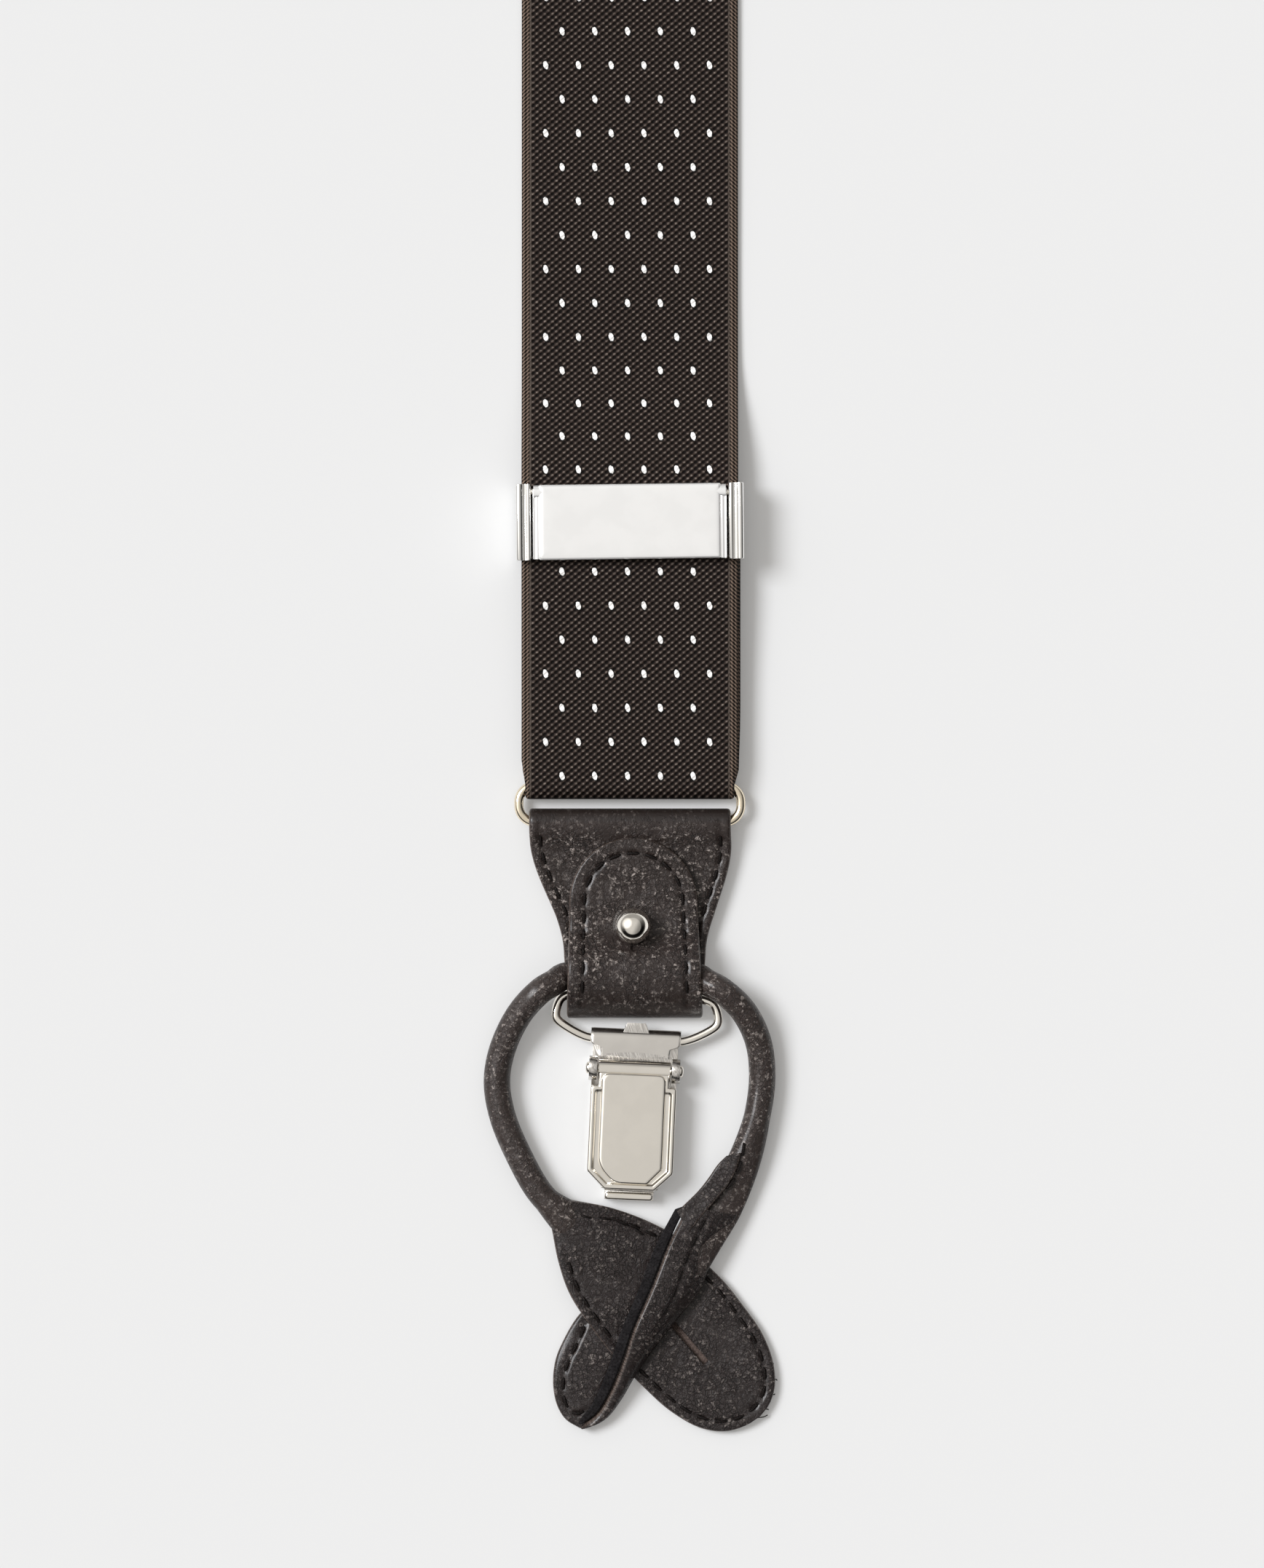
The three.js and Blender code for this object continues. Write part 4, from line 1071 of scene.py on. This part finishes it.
def add_tip(threads, name, place, body):
    """The right leg's ear, flat on the table to the left and tucked under the leaf."""
    outer = edge_line([
        (-6.6, -81.0, 0.9), (-8.6, -83.2, 0.9), (-10.5, -86.4, 0.9), (-12.0, -90.0, 0.9),
        (-12.4, -94.1, 0.9), (-11.7, -97.5, 0.9), (-10.3, -99.7, 0.9), (-8.2, -101.0, 0.9),
    ])
    near = edge_line([
        (0.2, -83.6, 1.0), (-0.9, -86.6, 1.4), (-2.3, -89.6, 1.9), (-3.7, -92.6, 1.9),
        (-4.6, -95.0, 1.6), (-5.8, -97.6, 1.3), (-6.6, -99.4, 1.0), (-7.4, -101.0, 0.9),
    ])
    swell = lambda t, s: 0.25 * np.cos(t * math.pi / 2)
    ear = Ribbon(outer, near, 1.4, columns=30, edge=0.45, lift=swell).face_up()
    seam = catmull([
        (-7.1, -84.0), (-8.3, -86.9), (-9.6, -89.5), (-10.5, -91.9), (-10.8, -94.3),
        (-10.3, -97.2), (-8.9, -98.6), (-6.9, -98.1),
    ], 8)
    add_strip(f"{name}_ear_tip_leather", place, ear, EAR_LEATHER, body,
              groove=groove_for([seam]), flat=True)
    sew(threads, seam, Surface(ear).place)


def sew_roll(threads):
    """The seam that starts on the right leg's roll."""
    seam = catmull([(18.6, -53.4), (18.0, -57.6), (16.6, -61.0), (13.9, -63.9), (12.9, -65.6)], 8)
    lift = np.interp(seam[:, 1], [-66, -60, -53], [4.45, 4.3, 4.32])
    on_roll = lambda x, y, height: np.stack(
        [x, y, np.interp(y, seam[::-1, 1], lift[::-1]) + height - 0.02], -1)
    sew(threads, seam, on_roll)


def add_opened_edge(name, place, body):
    """The rolled strip's free lip, which opens out above the crossing."""
    left = edge_line([
        (15.6, -56.9, 3.9), (14.2, -58.3, 3.9), (12.9, -60.2, 3.9), (11.2, -62.4, 3.95),
        (9.2, -64.4, 4.05), (7.6, -65.9, 4.2),
    ], 30)
    right = edge_line([
        (18.0, -56.4, 4.0), (17.3, -58.8, 4.15), (16.1, -61.2, 4.25), (14.2, -63.6, 4.3),
        (12.0, -66.2, 4.5), (9.6, -69.2, 4.8),
    ], 30)
    lip = Ribbon(left, right, 1.1, columns=10, edge=0.4).face_up()
    add_strip(f"{name}_ear_lip_leather", place, lip, EAR_LEATHER, body, flat=True)


class Surface:
    """Finds a ribbon's face from flat x, y places."""

    def __init__(self, ribbon):
        grid = []
        for i in range(len(ribbon.middle)):
            for t in np.linspace(-1, 1, 25):
                extra = ribbon.lift(t, ribbon.s[i] / ribbon.s[-1])
                grid.append(ribbon.middle[i] + ribbon.side[i] * ribbon.width[i] / 2 * t
                            + ribbon.normal[i] * (ribbon.thick / 2 + extra))
        self.grid = np.array(grid)

    def place(self, x, y, height):
        spots = np.stack([x, y], -1)
        far = np.linalg.norm(self.grid[None, :, :2] - spots[:, None], axis=2)
        order = np.argsort(far, axis=1)[:, :4]
        rows = np.arange(len(spots))[:, None]
        weight = 1 / (far[rows, order] + 0.05)
        z = (self.grid[order, 2] * weight).sum(1) / weight.sum(1)
        return np.column_stack([spots, z + height])


def inset_line(outline, inset, centre):
    """A line inside an outline, at an even distance from it."""
    line = even(outline, step=0.5)
    along = unit(np.gradient(line, axis=0))
    normal = np.stack([-along[:, 1], along[:, 0]], 1)
    toward = np.asarray(centre) - line
    normal *= np.sign((normal * toward).sum(1))[:, None]
    moved = line + normal * inset
    for _ in range(12):
        moved[1:-1] = (moved[:-2] + moved[1:-1] * 2 + moved[2:]) / 4
    return even(moved, step=0.4)


def cut_slit(piece, place, a, b, half):
    """Cuts a buttonhole through a leaf: slices its faces along the slit and opens them."""
    along = unit(b - a)
    across = np.array([-along[1], along[0]])
    back, turn = place.inverted(), place.to_3x3().normalized()
    mesh = bmesh.new()
    mesh.from_mesh(piece.data)

    def faces_in(margin):
        found = []
        for face in mesh.faces:
            spot = np.array((back @ face.calc_center_median())[:2]) - a
            on, off = spot @ along, abs(spot @ across)
            if -margin < on < np.linalg.norm(b - a) + margin and off < half + margin:
                found.append(face)
        return found

    sides = ((a, along), (b, along), (a + across * half, across), (a - across * half, across))
    for point, normal in sides:
        near = faces_in(2.5)
        edges = list({e for f in near for e in f.edges})
        verts = list({v for f in near for v in f.verts})
        bmesh.ops.bisect_plane(
            mesh, geom=verts + edges + near, plane_co=place @ Vector((*point, 0)),
            plane_no=turn @ Vector((*normal, 0)), dist=1e-7,
        )
    bmesh.ops.delete(mesh, geom=faces_in(-0.001), context="FACES")
    rim = [e for e in mesh.edges if len(e.link_faces) == 1]
    bmesh.ops.bridge_loops(mesh, edges=rim)
    bmesh.ops.recalc_face_normals(mesh, faces=mesh.faces)
    mesh.to_mesh(piece.data)
    mesh.free()


FRAYED = (
    (22.9, -90.6), (23.5, -93.2), (23.2, -95.6), (22.2, -98.0), (20.9, -99.4), (21.6, -87.2),
)


def add_frayed_ends(shell):
    """Loose thread ends along the leaf's outer edge."""
    rng = np.random.default_rng(7)
    for x, y in FRAYED:
        turn = rng.uniform(-0.9, 0.3)
        reach = rng.uniform(0.15, 0.4) if y > -98.5 else rng.uniform(0.9, 1.6)
        tip = (x + reach * math.cos(turn), y + reach * math.sin(turn), rng.uniform(0.2, 0.9))
        bend = (x + reach * 0.5, y + reach * rng.uniform(-0.3, 0.1), 1.0)
        tube(shell, catmull([(x - 0.6, y, 0.9), bend, tip], 5), 0.09, sides=5)


# ---------------------------------------------------------------- bail and clip


def add_bail(name):
    """The bent wire, from one end under the bracket round the flap to the other."""
    half, side, corner = 27.6 / 2 - WIRE, 4.0, 2.4
    foot, shoulder = 14.5 / 2 - 2.7, 14.5 / 2 + 0.6
    flat = []
    for way in (-1, 1):
        leg = [
            (way * foot, -CLIP_DROP), (way * shoulder, -CLIP_DROP),
            (way * (half - 0.75), -side - 0.75), (way * half, -side + 0.1), (way * half, -corner),
            (way * (half - corner * 0.3), -corner * 0.3), (way * (half - corner), 0),
            (way * (half - corner - 2), 0),
        ]
        flat += leg if way < 0 else leg[::-1]
    line = catmull([(x, y, BAR_HEIGHT) for x, y in flat], 10)
    shell = Shell()
    tube(shell, even(line, step=0.35), WIRE, sides=20)
    piece = shell.make(f"{name}_bail_wire", clip_matrix(name), NICKEL)
    keep(piece, f"{name}_hanger", "nickel", f"{name}_bail")


def rounded_polygon(points, radii, per=7):
    """A closed outline with each corner rounded, always with the same number of points."""
    points = [np.array(p, float) for p in points]
    out = []
    for i, p in enumerate(points):
        a, b = points[i - 1], points[(i + 1) % len(points)]
        da, db = unit(a - p), unit(b - p)
        half = math.acos(np.clip(da @ db, -1, 1)) / 2
        sides = np.linalg.norm(a - p), np.linalg.norm(b - p)
        cut = min(radii[i] / math.tan(half), min(sides) * 0.48)
        start, end = p + da * cut, p + db * cut
        for t in np.linspace(0, 1, per):
            out.append((1 - t) ** 2 * start + 2 * t * (1 - t) * p + t**2 * end)
    return np.array(out)


def level(outline, z):
    return np.column_stack([outline, np.full(len(outline), z)])


def stack(shell, layers, **settings):
    """Skins outlines at rising or falling heights; both ends are closed unless caps is False."""
    loft(shell, [level(outline, z) for outline, z in layers], **settings)


def inset_polygon(points, by):
    """Moves each side of a closed polygon inwards."""
    points = [np.array(p, float) for p in points]
    area = sum(a[0] * b[1] - b[0] * a[1] for a, b in zip(points, points[1:] + points[:1]))
    sign = 1 if area > 0 else -1
    out = []
    for i, p in enumerate(points):
        a, b = points[i - 1], points[(i + 1) % len(points)]
        d0, d1 = unit(p - a), unit(b - p)
        n0, n1 = sign * np.array([-d0[1], d0[0]]), sign * np.array([-d1[1], d1[0]])
        out.append(p + (n0 + n1) / max(0.35, 1 + n0 @ n1) * by)
    return out


def add_lever(name, spot):
    """The cover: a hollow box with a raised panel and its rolled hinge."""
    neck, half, top, end, chamfer = 5.75, 6.95, -7.6, -24.3, 2.8
    high, low = 4.85, 2.9
    outline = [
        (-neck, -5.4), (-neck, top), (-half, top), (-half, end + chamfer), (-half + 2.9, end),
        (half - 2.9, end), (half, end + chamfer), (half, top), (neck, top), (neck, -5.4),
    ]
    radii = [0.3, 0.2, 0.5, 0.8, 0.5, 0.5, 0.8, 0.5, 0.2, 0.3]
    ring = lambda by: rounded_polygon(inset_polygon(outline, by), radii)
    shell = Shell()
    stack(shell, [
        (ring(0.55), low), (ring(0.0), low), (ring(0.0), high - 0.42), (ring(0.03), high - 0.24),
        (ring(0.12), high - 0.1), (ring(0.26), high - 0.03), (ring(0.42), high),
        (ring(0.62), high - 0.01), (ring(0.76), high - 0.08), (ring(0.86), high - 0.22),
        (ring(0.98), high - 0.36), (ring(1.15), high - 0.4), (ring(1.7), high - 0.4),
    ], caps=False)
    for lid in (level(ring(1.7), high - 0.4), level(ring(0.55), low)):
        shell.add(lid, [range(len(lid))])
    panel = [
        (-5.25, -5.55), (-5.25, -20.6), (-2.6, -23.35), (2.9, -23.35), (5.2, -20.9), (5.2, -5.55),
    ]
    soft = [1.4, 4.2, 3.2, 1.0, 1.0, 1.4]
    face = lambda by: rounded_polygon(inset_polygon(panel, by), [max(0.3, r - by) for r in soft])
    stack(shell, [
        (face(-0.05), high - 0.42), (face(0.0), high - 0.15), (face(0.05), high + 0.12),
        (face(0.16), high + 0.28), (face(0.34), high + 0.37), (face(0.6), high + 0.4),
        (face(2.0), high + 0.42), (face(3.6), high + 0.43),
    ])
    barrel = np.linspace(-neck, neck, 9)
    tube(shell, [(x, LEVER_LINE, LEVER_HEIGHT) for x in barrel], 1.42, sides=28)
    piece = shell.make(f"{name}_clip_cover", spot, NICKEL, sharp=48)
    keep(piece, f"{name}_lever", "nickel", f"{name}_clip_lever")


def add_bracket(name, spot):
    """The bracket's rolled top, its shaped front plate and the small stop above it."""
    roll = 1.37
    path = np.vstack([
        even(catmull([
            (-2.95, BAR_HEIGHT + 1.32), (-1.7, BAR_HEIGHT + 1.4), (-0.5, BAR_HEIGHT + 1.42),
            (0, BAR_HEIGHT + roll),
        ], 6), step=0.16),
        half_turn(0, BAR_HEIGHT, roll, 1, 18)[1:-3],
    ])
    below, halves = [-1.4, 0.75, 1.05, 1.4, 2.3, 2.95], [7.25, 7.2, 7.0, 5.75, 5.6, 5.6]
    half = lambda v: np.interp(-v, below, halves)
    shell = Shell()
    straight(path, half, thick=0.62, columns=40, edge=0.3).build(shell)
    for part in shell.verts:
        x = np.clip(part[:, 0] / 5.6, -1, 1)
        part[:, 1] += 0.75 * np.interp(part[:, 1], [-2.95, -1.9], [1.0, 0.0]) * (1 - x**2)
    flat = [(-2.2, 1.0), (2.2, 1.0), (1.55, 2.6), (-1.55, 2.6)]
    high = BAR_HEIGHT + 1.05
    ring = lambda by: rounded_polygon(inset_polygon(flat, by), [0.35] * 4)
    stack(shell, [
        (ring(0.0), high - 0.6), (ring(0.0), high - 0.1), (ring(0.1), high + 0.06),
        (ring(0.26), high + 0.1), (ring(0.4), high + 0.04), (ring(0.5), high - 0.16),
        (ring(0.62), high - 0.2),
    ])
    piece = shell.make(f"{name}_clip_bracket", spot, BRACKET_METAL, sharp=50)
    keep(piece, f"{name}_grip", "steel")


RIVET = [(0.02, 0.5), (0.55, 0.46), (0.85, 0.3), (0.98, 0.1), (1.0, -0.3)]  # radius, height


def add_clip(name):
    spot = clip_matrix(name) @ Matrix.Translation((0, -CLIP_DROP, 0))
    add_lever(name, spot)
    add_bracket(name, spot)
    dress(f"{name}_clip_frame", STEEL, 0.14)
    dress(f"{name}_clip_pin", NICKEL, 0.15)
    dress(f"{name}_clip_jaw", STEEL, 0.12)
    dress(f"{name}_clip_pad", PLASTIC, 0.12)
    turns = np.linspace(0, 2 * math.pi, 20, endpoint=False)
    shell = Shell()
    for way in (-1, 1):
        loft(shell, [[(way * (7.45 + h), LEVER_LINE + r * math.cos(a), LEVER_HEIGHT + r * math.sin(a))
                      for a in turns] for r, h in RIVET])
    keep(shell.make(f"{name}_clip_rivets", spot, NICKEL), f"{name}_grip", "steel")
    shell = Shell()
    lip = [(-3.95, -26.05), (3.95, -26.05), (3.95, -24.75), (-3.95, -24.75)]
    ring = lambda by: rounded_polygon(inset_polygon(lip, by), [0.6] * 4)
    stack(shell, [
        (ring(0.05), 2.2), (ring(0.0), 2.5), (ring(0.08), 2.85), (ring(0.25), 3.02),
        (ring(0.45), 3.06),
    ])
    keep(shell.make(f"{name}_clip_lip", spot, NICKEL), f"{name}_grip", "steel")


# ---------------------------------------------------------------- adjuster


def extrude(shell, profile, v0, v1, bevel=0.12):
    """Pulls a closed (u, z) profile along v, with its ends slightly rounded."""
    profile = np.asarray(profile, float)
    middle = profile.mean(0)
    rings = []
    for v, inset in ((v0, bevel), (v0 + bevel * 0.4, bevel * 0.3), (v0 + bevel, 0),
                     (v1 - bevel, 0), (v1 - bevel * 0.4, bevel * 0.3), (v1, bevel)):
        scale = 1 - inset / np.maximum(np.abs(profile - middle).max(0), 0.2)
        flat = middle + (profile - middle) * scale
        rings.append(np.column_stack([flat[:, 0], np.full(len(flat), v), flat[:, 1]]))
    loft(shell, np.array(rings))


def add_adjuster(name):
    """The two rails with their cross bars, and the toothed cover that flips on the pin."""
    skew = Matrix.Rotation(math.radians(0.5), 4, "Z")
    place = end_matrix(name) @ Matrix.Translation((0, ADJUSTER, 0)) @ skew
    shell = Shell()
    for way in (-1, 1):
        ridge = [
            (15.95, 5.65), (15.95, 7.35), (16.05, 7.62), (16.3, 7.72), (16.62, 7.62), (16.78, 7.4),
            (16.95, 7.34), (17.12, 7.42), (17.3, 7.72), (17.62, 7.95), (17.95, 7.98), (18.25, 7.8),
            (18.4, 7.4), (18.4, 1.5), (17.8, 1.5), (17.8, 5.65),
        ]
        extrude(shell, [(way * u, z) for u, z in ridge], -6.2, 6.1)
    for v0, v1, z0, z1 in ((-5.15, -4.25, 1.5, 2.3), (4.05, 5.25, 3.0, 3.8)):
        bar = rounded_polygon([(v0, z0), (v1, z0), (v1, z1), (v0, z1)], [0.25] * 4, 4)
        loft(shell, [np.column_stack([np.full(len(bar), x), bar]) for x in (-17.95, 17.95)])
    piece = shell.make(f"{name}_adjuster_rails", place, RAIL_METAL, sharp=50)
    keep(piece, f"{name}_slider", "nickel", f"{name}_adjuster_frame")
    dress(f"{name}_adjuster_pin", NICKEL, 0.12)

    shell = Shell()
    for way in (-1, 1):
        lip = [
            (14.6, 6.45), (14.6, 7.45), (14.72, 7.62), (14.95, 7.66), (15.14, 7.56), (15.28, 7.5),
            (15.42, 7.56), (15.55, 7.6), (15.66, 7.45), (15.66, 6.45),
        ]
        extrude(shell, [(way * u, z) for u, z in lip], -6.05, 5.3)
    plate = [(-14.75, -6.2), (14.7, -6.05), (14.7, 6.05), (-14.75, 5.95)]
    corner = [0.5, 0.35, 0.35, 0.5]
    ring = lambda by: rounded_polygon(
        inset_polygon(plate, by), [max(0.15, r - by * 0.3) for r in corner])
    stack(shell, [
        (ring(0.25), 6.3), (ring(0.02), 6.4), (ring(0.0), 7.45), (ring(0.06), 7.68),
        (ring(0.2), 7.84), (ring(0.42), 7.92), (ring(0.9), 7.97), (ring(2.2), 8.0), (ring(4.6), 8.02),
    ])
    tube(shell, [(x, 4.75, 6.8) for x in np.linspace(-15.5, 15.5, 9)], 1.15, sides=24)
    for x in np.arange(-12.8, 13.0, 1.6):
        tooth = rounded_polygon([(x, 2.0), (x + 1.1, 2.0), (x + 1.1, 2.5), (x, 2.5)], [0.1] * 4, 3)
        stack(shell, [(tooth, 5.65), (tooth, 6.6)])
    piece = shell.make(f"{name}_adjuster_plate", place, BRIGHT, sharp=50)
    keep(piece, f"{name}_flip", "nickel", f"{name}_adjuster_cover")


# ---------------------------------------------------------------- back patch


def patch_outline():
    """The patch as a closed line round its centre, in millimetres."""
    spread = math.radians(SPREAD)
    half, shoulder = 19.5, 11.25
    sin, cos = math.sin(spread), math.cos(spread)
    foot = (PATCH_LEG * sin + half * cos, -PATCH_LEG * cos + half * sin)
    curve = [(half + 4 * t * t, -shoulder - 16 * t) for t in np.linspace(0, 1, 10)]
    right = [(half, PATCH_RISE), *curve, foot]
    return np.array([*right, (0, -PATCH_LEG / cos), *[(-x, y) for x, y in right[::-1]]])


def add_patch():
    """Two leathers with the webbing between them, sewn along their edge."""
    place = Matrix.Translation(patch_centre()) @ Matrix.Scale(MM, 4)
    outline = patch_outline()
    line = even(np.vstack([outline, outline[:1]]), step=0.8)[:-1]
    for part, z in (("front", 3.0), ("back", 0.0)):
        shell = Shell()
        fill_outline(shell, line, z, z + STRIP)
        made = shell.make(f"patch_{part}_leather", place, LEATHER)
        keep(made, "root", "leather", f"patch_{part}")
    seam = inset_line(np.vstack([line, line[:1]]), 2.2, (0, -30))
    shell = Shell()
    sew(shell, seam, lambda x, y, h: np.stack([x, y, np.full_like(x, 4.17) + h], -1))
    keep(shell.make("patch_stitching", place, THREAD), "root", "leather")


def fill_outline(shell, line, z0, z1):
    """A flat leather piece from an outline, with rounded edges."""
    mesh = bmesh.new()
    mesh.faces.new([mesh.verts.new((x, y, 0)) for x, y in line])
    mesh.verts.index_update()
    bmesh.ops.triangulate(mesh, faces=mesh.faces[:])
    tris = [[v.index for v in f.verts] for f in mesh.faces]
    mesh.free()
    around = lambda rings: np.concatenate([rings[:, :, :2], rings[:, :1, :2]], 1)
    insets = (0.0, 0.0, 0.08, 0.25, 0.5)
    heights = (z0 + 0.25, z1 - 0.35, z1 - 0.18, z1 - 0.05, z1)
    rings = np.array([level(inset_loop(line, by), z) for by, z in zip(insets, heights)])
    rim = np.broadcast_to(np.array(insets)[:, None], rings.shape[:2])
    loft(shell, rings, around(rings), caps=False, rim=rim)
    bottom = np.array([level(inset_loop(line, 0.2), z0), rings[0]])
    for ring in (rings[-1], bottom[0]):
        shell.add(ring, tris, [ring[i, :2] for t in tris for i in t], rim=0.6)
    loft(shell, bottom, around(bottom), caps=False, rim=0.0)


def inset_loop(line, by):
    ahead, behind = np.roll(line, -1, 0), np.roll(line, 1, 0)
    along = unit(ahead - behind)
    normal = np.stack([-along[:, 1], along[:, 0]], 1)
    area = (line[:, 0] * ahead[:, 1] - ahead[:, 0] * line[:, 1]).sum()
    return line + normal * by * (1 if area > 0 else -1)


# ---------------------------------------------------------------- studio


VIEW_HEIGHT = 254.0094  # what the photo shows from top to bottom, in millimetres
CAMERA_HEIGHT = 1.6
SENSOR = 24
FLOOR_HALF, FLOOR_LEVEL = 6.0, -0.00005
DAYLIGHT = (0.985, 1.0, 1.03)
KEY_FROM = (-0.85, 0.35, 1.05)


def add_studio():
    scene = bpy.context.scene
    turn = math.radians(ENDS["left"])
    camera = bpy.data.cameras.new("camera")
    camera.sensor_fit = "VERTICAL"
    camera.sensor_height = SENSOR
    camera.lens = SENSOR * CAMERA_HEIGHT / (VIEW_HEIGHT * MM)
    camera.clip_end = 20
    spot = bpy.data.objects.new("camera", camera)
    aim = end_matrix("left") @ Vector((0.35, 3.2, 0))
    spot.location = (aim.x, aim.y, CAMERA_HEIGHT)
    spot.rotation_euler = (0, 0, turn)
    scene.collection.objects.link(spot)
    scene.camera = spot

    floor_mesh = bpy.data.meshes.new("floor")
    corners = [(x * FLOOR_HALF, y * FLOOR_HALF, 0) for x, y in ((-1, -1), (1, -1), (1, 1), (-1, 1))]
    floor_mesh.from_pydata(corners, [], [(0, 1, 2, 3)])
    floor = bpy.data.objects.new("floor", floor_mesh)
    floor.location.z = FLOOR_LEVEL
    scene.collection.objects.link(floor)
    n = Nodes("floor_paper")
    n.finish(
        Base_Color=(0.562, 0.565, 0.566, 1), Roughness=0.95, Specular_IOR_Level=0.0,
        Emission_Color=(1.0, 0.985, 0.965, 1), Emission_Strength=0.17,
    )
    floor_mesh.materials.append(n.material)

    sun = bpy.data.lights.new("key", "SUN")
    sun.energy = 2.8
    sun.color = DAYLIGHT
    sun.angle = math.radians(24)
    lamp = bpy.data.objects.new("key", sun)
    towards = Matrix.Rotation(turn, 3, "Z") @ Vector(KEY_FROM)
    lamp.rotation_euler = towards.to_track_quat("Z", "Y").to_euler()
    scene.collection.objects.link(lamp)

    world = bpy.data.worlds.new("studio")
    scene.world = world
    world.use_nodes = True
    light_world(Tree(world.node_tree), turn)
    scene.view_settings.view_transform = "Standard"
    scene.view_settings.look = "None"


def light_world(tree, turn):
    """A soft tent with a large key panel to the upper left and a dark gap low down, which metal
    edges reflect; the gap is deepest away from the key panel."""
    view = tree.place("Generated")
    height = tree.split(view)[2]

    def steps(points):
        """Shades by height."""
        ramp = tree.add("ShaderNodeValToRGB")
        ramp.color_ramp.interpolation = "EASE"
        while len(ramp.color_ramp.elements) < len(points):
            ramp.color_ramp.elements.new(0.5)
        for element, (at, shade) in zip(ramp.color_ramp.elements, points):
            element.position = at
            element.color = (shade, shade, shade, 1)
        tree.join(height, ramp.inputs[0])
        return ramp.outputs[0]

    def facing(direction, *limits):
        """Goes from the third limit to the fourth as the view turns towards a direction."""
        towards = Matrix.Rotation(turn, 3, "Z") @ Vector(direction).normalized()
        return tree.ramp(tree.dot(view, towards), *limits)

    tent = steps([(0.0, 0.5), (0.12, 0.5), (0.55, 0.5), (0.7, 0.6), (0.9, 0.66), (1.0, 0.66)])
    tent = tree.math("MULTIPLY", tent, facing((1.0, -0.45, 0.0), 0.1, 0.75, 1.0, 0.4))
    gap = steps([(0.08, 0.0), (0.16, 1.0), (0.5, 1.0), (0.62, 0.0)])
    depth = tree.math("MULTIPLY", gap, facing((0.25, -1.0, 0.0), -0.5, 0.4, 0.3, 0.98))
    tent = tree.math("MULTIPLY", tent, tree.math("SUBTRACT", 1.0, depth))
    tent = tree.math("ADD", tent, facing((-0.62, 0.3, 0.72), 0.78, 0.95, 0.0, 0.75))
    tint = tree.add("ShaderNodeMix", data_type="RGBA", blend_type="MULTIPLY")
    for value, socket in ((1.0, 0), (tent, 6), ((1.0, 0.975, 0.94, 1), 7)):
        tree.join(value, tint.inputs[socket])
    back = tree.add("ShaderNodeBackground")
    tree.join(tint.outputs[2], back.inputs[0])
    tree.join(1.0, back.inputs[1])
    tree.join(back.outputs[0], tree.add("ShaderNodeOutputWorld").inputs[0])


# ---------------------------------------------------------------- assembly

add_studio()
for end_name in ENDS:
    add_ring(end_name)
    add_tab(end_name)
    add_flap(end_name)
    add_stud(end_name)
    add_loop(end_name)
    add_bail(end_name)
    add_clip(end_name)
for end_name, side in (("left", 1), ("right", -1)):
    front_webbing(end_name, side)
    add_adjuster(end_name)
back_webbing()
add_patch()
